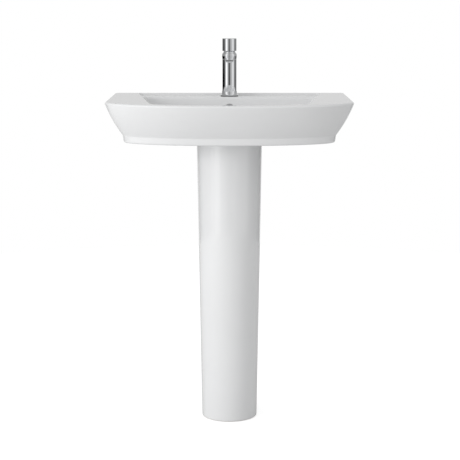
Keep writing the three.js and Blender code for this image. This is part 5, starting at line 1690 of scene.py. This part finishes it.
# ---------------------------------------------------------------- waste and trap
@dataclass
class ClickWaste(SubAssembly):
    """Click waste: flange with its threaded tail, seals, guide, plug and nut."""

    floor: float = 92.0
    wall: float = 12.0
    duct: float = 10.0
    boss_height: float = 38.0
    below_boss: float = 38.0
    flange: float = 32.0
    flange_thickness: float = 2.4
    tail: float = 20.5
    tail_wall: float = 2.8
    travel: float = 9.0
    pitch: float = 2.3

    def __post_init__(self) -> None:
        """Finds the waste's axis and the deck from the frame."""
        self.origin = Vector((0.0, middle("waste_flange").y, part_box("basin")[1].z))
        self.seat = -self.floor - 3.0
        self.flange_bottom = self.seat + GAP + 1.5 + GAP
        self.boss_bottom = -(self.floor + self.boss_height)
        self.bottom = self.boss_bottom - self.below_boss
        self.bore = self.tail - self.tail_wall
        self.guide = -(self.floor + self.wall + self.duct + 4)

    def flange_piece(self) -> Shape:
        """Makes the flange and its slotted, threaded tail."""
        top = self.flange_bottom + self.flange_thickness
        root = self.tail - 0.9
        corners: list[Corner] = [(self.bore, self.bottom, 0.4), (root, self.bottom, 0.2)]
        turns = int((self.below_boss + 12) / self.pitch)
        for turn in range(turns):
            height = self.bottom + 0.8 + turn * self.pitch
            for radius, share in ((root, 0.0), (self.tail, 0.4), (self.tail, 0.65)):
                corners.append((radius, height + self.pitch * share))
        corners += [
            (self.tail, self.bottom + 1.4 + turns * self.pitch), (self.tail, self.flange_bottom, 0.5),
            (self.flange, self.flange_bottom, 0.3), (self.flange, self.flange_bottom + 0.8, 0.4),
            (self.bore + 3.2, top, 1.6), (self.bore, top - 1.8, 1.2),
        ]
        level = -(self.floor + self.wall + self.duct / 2)
        slot = block(14, 2 * self.tail + 4, level - self.duct / 2, level + self.duct / 2, 0.3)
        return carved(lathed(corners, 120, steps=5), removed=[slot])

    def guide_piece(self) -> Shape:
        """Makes the plastic bridge that guides the plug's stem."""
        ring = sleeve(self.bore - 2.2, self.bore - GAP, -3.5, 3.5, 0.4)
        bar = block(2 * self.bore - 3.0, 3.4, -3.5, 3.5, 0.5)
        hub = rod(7, -5, 5, 0.6)
        return carved(ring, [bar, hub], [rod(3.6 + GAP, -6, 6, sides=SOCKET_SIDES)]).shifted(z=self.guide)

    def build(self) -> None:
        """Makes and dresses the waste's pieces."""
        self.fit("waste_flange", self.flange_piece(), CHROME)
        washer = sleeve(self.tail + GAP, self.flange - 1, self.seat + GAP, self.seat + GAP + 1.5)
        self.fit("waste_flange_washer", washer, RUBBER)
        self.fit("waste_guide", self.guide_piece(), WHITE_PLASTIC)
        seal_bottom = self.flange_bottom + self.flange_thickness + self.travel + 0.8
        cap_bottom = seal_bottom + 1.8 + GAP
        cap = self.flange - 1.5
        self.fit("waste_plug", lathed([
            (0, cap_bottom), (cap, cap_bottom, 0.3), (cap, cap_bottom + 1.2, 0.5),
            (cap - 2.4, cap_bottom + 2.8, 2.0), (cap * 0.55, cap_bottom + 3.95, 20.0), (0, cap_bottom + 4.4),
        ], BARREL_SIDES, steps=8), CHROME, "plug")
        lip = sleeve(self.bore + 4, cap - 2, seal_bottom, seal_bottom + 1.8, 0.6)
        self.fit("waste_plug_seal", lip, RUBBER, "plug")
        self.fit("waste_plug_stem", lathed([
            (0, self.guide - 14), (3.4, self.guide - 14, 0.8), (3.4, cap_bottom - 5, 0.6),
            (8, cap_bottom - 4, 0.5), (8, cap_bottom - GAP, 0.3), (0, cap_bottom - GAP),
        ], 56), BRASS, "plug")
        top = self.boss_bottom - GAP
        self.fit("waste_seal", lathed([
            (self.tail + GAP, top - 6, 0.4), (30, top - 6, 0.8), (34, top - 2, 0.8), (34, top, 0.5),
            (self.tail + GAP, top, 0.4),
        ]), RUBBER)
        top -= 6 + GAP
        self.fit("waste_nut", nut(58, self.tail + GAP, top - 9, top), BRASS)


@dataclass
class BottleTrap(SubAssembly):
    """Bottle trap: body, cup, ribbed nuts, washers and the pipe to the wall."""

    tail: float = 20.5
    tail_bore: float = 17.7
    radius: float = 27.0
    cup: float = 35.0
    cup_height: float = 84.0
    wall: float = 3.0
    pipe: float = 17.5
    pipe_wall: float = 2.0
    skirt: float = 10.0
    dip: float = 15.0
    waste_setback: float = 243.0
    tail_bottom: float = -168.0

    def __post_init__(self) -> None:
        """Finds the trap's axis from the frame and works out its heights."""
        self.origin = Vector((0.0, middle("waste_flange").y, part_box("basin")[1].z))
        self.branch = self.pipe + 4.5
        self.washer_top = self.tail_bottom - GAP
        self.inlet_top = self.washer_top - 3 - GAP
        self.top = self.inlet_top - 26
        self.outlet = self.top - 6 - self.branch
        self.bottom = self.outlet - self.branch - 2 - self.skirt
        self.outlet_end = self.radius + 26

    def to_back(self, shape: Shape) -> Shape:
        """Returns a turned piece laid along the outlet."""
        return shape.moved(BACKWARDS).shifted(z=self.outlet)

    def body_piece(self) -> Shape:
        """Makes the trap's body with its dip tube and outlet branch."""
        bottom, inlet = self.bottom, self.inlet_top
        inner = self.radius - self.wall
        shape = lathed([
            (0, bottom - 30), (self.dip, bottom - 30, 0.5), (self.dip, bottom + 6),
            (self.radius + 2, bottom, 0.3), (self.radius + 2, bottom + self.skirt, 0.6),
            (self.radius, bottom + self.skirt + 2, 0.8), (self.radius, self.top - 6, 3.0),
            (self.radius - 6, self.top, 3.0), (self.dip + 1.5, self.top, 2.0),
            (self.dip + 1.5, inlet - 4, 0.4), (self.tail, inlet - 4, 0.5), (self.tail, inlet, 0.5),
            (0, inlet),
        ])
        chamber = lathed([
            (self.dip, bottom - 1), (inner, bottom - 1), (inner, self.top - 8, 2.0),
            (inner - 5, self.top - 3, 2.0), (self.dip, self.top - 3),
        ])
        branch = self.to_back(rod(self.branch, self.radius - 8, self.outlet_end, 0.6, 80))
        return carved(shape, [branch], [
            chamber,
            self.to_back(rod(self.pipe + GAP, self.radius + 2, self.outlet_end + 1, sides=72)),
            self.to_back(rod(self.pipe - 3, self.dip + 2, self.outlet_end, sides=72)),
            rod(self.dip - 2.2, bottom - 31, inlet + 1),
        ])

    def cup_piece(self) -> Shape:
        """Makes the cup with its ribbed collar."""
        inner = self.radius + 2 + GAP
        ring_top = self.bottom + self.skirt - GAP
        floor = self.bottom - self.cup_height
        return lathed([
            (0, floor + self.wall), (self.radius - 8, floor + self.wall, 4.0),
            (self.radius - 1, floor + 8, 4.0), (self.radius - 1, self.bottom - 3, 0.3),
            (inner, self.bottom - 3, 0.3), (inner, ring_top, 0.4), (self.cup, ring_top, 0.8),
            (self.cup, self.bottom - 8, 0.8), (self.radius + 3, self.bottom - 10, 1.0),
            (self.radius + 3, floor + 8, 7.0), (self.radius - 6, floor, 7.0), (0, floor),
        ], RIBBED_SIDES, ribs(24, 1.6, self.radius + 4.5))

    def build(self) -> None:
        """Makes and dresses the trap's pieces."""
        self.fit("trap_body", self.body_piece(), WHITE_PLASTIC)
        self.fit("trap_cup", self.cup_piece(), WHITE_PLASTIC)
        seal_top = self.bottom - GAP
        seal = sleeve(self.radius - 1, self.radius + 1.8, seal_top - 2.1, seal_top, 0.5)
        self.fit("trap_cup_seal", seal, RUBBER)
        low = self.inlet_top - 4 - GAP - 3
        shoulder = self.dip + 1.5 + GAP
        high = self.tail_bottom + 14
        self.fit("trap_inlet_nut", lathed([
            (shoulder, low, 0.4), (27, low, 1.0), (27, high, 1.0), (self.tail + GAP, high, 0.4),
            (self.tail + GAP, low + 3, 0.3), (shoulder, low + 3, 0.3),
        ], RIBBED_SIDES, ribs(24, 1.4, 24.0)), WHITE_PLASTIC)
        washer = sleeve(self.tail_bore - 1, self.tail, self.washer_top - 3, self.washer_top, 0.5)
        self.fit("trap_inlet_washer", washer, RUBBER)
        end = self.outlet_end + GAP + 3
        start = self.outlet_end - 14
        wide, narrow = self.branch + GAP, self.pipe + GAP
        self.fit("trap_outlet_nut", self.to_back(lathed([
            (wide, start, 0.4), (self.branch + 5, start, 1.0), (self.branch + 5, end + GAP + 3, 1.0),
            (narrow, end + GAP + 3, 0.4), (narrow, end + GAP, 0.3), (wide, end + GAP, 0.3),
        ], RIBBED_SIDES, ribs(24, 1.4, self.branch + 3))), WHITE_PLASTIC)
        washer = sleeve(self.pipe + GAP, self.branch, self.outlet_end + GAP, end, 0.5)
        self.fit("trap_outlet_washer", self.to_back(washer), RUBBER)
        start = self.radius + 2 + GAP
        pipe = sleeve(self.pipe - self.pipe_wall, self.pipe, start, self.waste_setback - GAP, 0.5)
        self.fit("waste_pipe", self.to_back(pipe), WHITE_PLASTIC)


# ---------------------------------------------------------------- studio
WHITE = (1.0, 1.0, 1.0)


class Band(Enum):
    """Flags and panels round the studio: the bearing where each starts, and its brightness.

    Bearing 0 faces the camera and right is positive, in degrees.
    """

    BEHIND = (-180.0, 0.68)
    LEFT_FLAG = (-150.0, 0.0)
    LEFT_EDGE = (-88.0, 0.14)
    WINDOW_EDGE = (-70.0, 0.75)
    WINDOW = (-54.0, 1.35)
    BESIDE_WINDOW = (-33.0, 0.42)
    CAMERA_FLAG = (-14.0, 0.08)
    RIGHT_SOFT = (12.0, 0.42)
    RIGHT_MIDDLE = (34.0, 0.66)
    RIGHT_PANEL = (52.0, 0.95)
    RIGHT_FAR = (72.0, 0.40)
    RIGHT_FLAG = (90.0, 0.16)
    BEHIND_RIGHT = (150.0, 0.68)


@dataclass
class Studio:
    """Pale floor, soft light and the camera."""

    floor_radius: float = 2.6
    camera_height: float = 0.2797    # above the deck
    camera_distance: float = 3.7212
    camera_shift: float = 0.0016
    camera_pitch: float = 9.68       # degrees below level
    lens: float = 108.79
    ambient: float = 0.70
    overhead: float = 0.69
    key_place: Triple = (-2.7, -2.1, 1.1)
    key_target: Triple = (0.0, 0.0, 0.6)
    key_size: float = 1.8
    key_power: float = 50.0
    floor_glow: float = 0.62         # what the floor gives the eye, beyond the light it returns

    def floor(self) -> None:
        """Lays the floor."""
        grid = bmesh.new()
        bmesh.ops.create_circle(grid, cap_ends=True, segments=128, radius=self.floor_radius)
        mesh = bpy.data.meshes.new("studio_floor")
        grid.to_mesh(mesh)
        grid.free()
        graph = Surface("studio_floor_paint")
        patches = graph.ranged(graph.noise(3.0), 0.0, 1.0)
        graph.connect(graph.blended(patches, (0.66, 0.66, 0.66), (0.64, 0.64, 0.64)), "Base Color")
        seen = graph.node("LightPath").outputs["Is Camera Ray"]
        graph.connect(graph.calculated("MULTIPLY", seen, self.floor_glow), "Emission Strength")
        graph.settle(Roughness=0.9, Emission_Color=(*WHITE, 1.0))
        mesh.materials.append(graph.material)
        floor = bpy.data.objects.new("studio_floor", mesh)
        floor.location.z = -0.0004
        bpy.context.scene.collection.objects.link(floor)

    def surroundings(self) -> None:
        """Paints the studio round the object: white to the eye, panels and flags to a polished surface."""
        world = bpy.data.worlds.new("studio")
        bpy.context.scene.world = world
        world.use_nodes = True
        graph = Graph(world.node_tree)
        view = graph.node("SeparateXYZ", {"Vector": graph.node("TexCoord").outputs["Generated"]}).outputs
        forwards = graph.calculated("MULTIPLY", view["Y"], -1.0)
        bearing = graph.calculated("ARCTAN2", view["X"], forwards)
        ramp = graph.node("ValToRGB", {"Fac": graph.ranged(bearing, 0.0, 1.0, -math.pi, math.pi)})
        self.paint(ramp.color_ramp)
        rise = graph.ranged(view["Z"], 0.0, 0.45, -0.06, 0.02)
        studio = graph.blended(rise, ramp.outputs["Color"], (self.overhead,) * 3)
        rays = graph.node("LightPath").outputs
        lit = graph.blended(rays["Is Glossy Ray"], (self.ambient,) * 3, studio)
        background = graph.node("Background", {"Color": graph.blended(rays["Is Camera Ray"], lit, WHITE)})
        graph.node("OutputWorld", {"Surface": background.outputs["Background"]})

    def paint(self, ramp: bpy.types.ColorRamp) -> None:
        """Sets a ramp's stops to the bands, each with a soft edge."""
        blur = 0.006
        last = Band.BEHIND.value[1]
        ramp.elements[0].color = (last, last, last, 1.0)
        for band in list(Band)[1:]:
            bearing, level = band.value
            edge = (bearing + 180.0) / 360.0
            for position, tone in ((edge - blur, last), (edge + blur, level)):
                ramp.elements.new(position).color = (tone, tone, tone, 1.0)
            last = level
        ramp.elements[-1].color = (last, last, last, 1.0)

    def light(self) -> None:
        """Hangs the key light, a soft square panel to the left of the camera."""
        light = bpy.data.lights.new("key_light", "AREA")
        light.shape = "SQUARE"
        light.size = self.key_size
        light.energy = self.key_power
        holder = bpy.data.objects.new("key_light", light)
        holder.location = self.key_place
        facing = Vector(self.key_target) - holder.location
        holder.rotation_euler = facing.to_track_quat("-Z", "Y").to_euler()
        holder.visible_glossy = False
        bpy.context.scene.collection.objects.link(holder)

    def camera(self) -> None:
        """Sets up the camera in front of the basin."""
        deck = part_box("basin")[1].z
        data = bpy.data.cameras.new("camera")
        data.sensor_width = 36.0
        data.lens = self.lens
        holder = bpy.data.objects.new("camera", data)
        holder.location = (self.camera_shift, -self.camera_distance, deck + self.camera_height)
        holder.rotation_euler = (math.radians(90.0 - self.camera_pitch), 0.0, 0.0)
        bpy.context.scene.collection.objects.link(holder)
        bpy.context.scene.camera = holder

    def build(self) -> None:
        """Sets up the studio."""
        self.floor()
        self.surroundings()
        self.light()
        self.camera()
        bpy.context.scene.view_settings.view_transform = "Standard"


def main() -> None:
    """Builds the sub-assemblies in order."""
    logging.basicConfig(level=logging.INFO, format="%(name)s: %(message)s")
    Studio().build()
    Basin().build()
    WallFixings().build()
    Pedestal().build()
    MixerTap().build()
    TapFixing().build()
    Supply(name="hot", sign=-1).build()
    Supply(name="cold", sign=1).build()
    ClickWaste().build()
    BottleTrap().build()


if __name__ == "__main__":
    main()
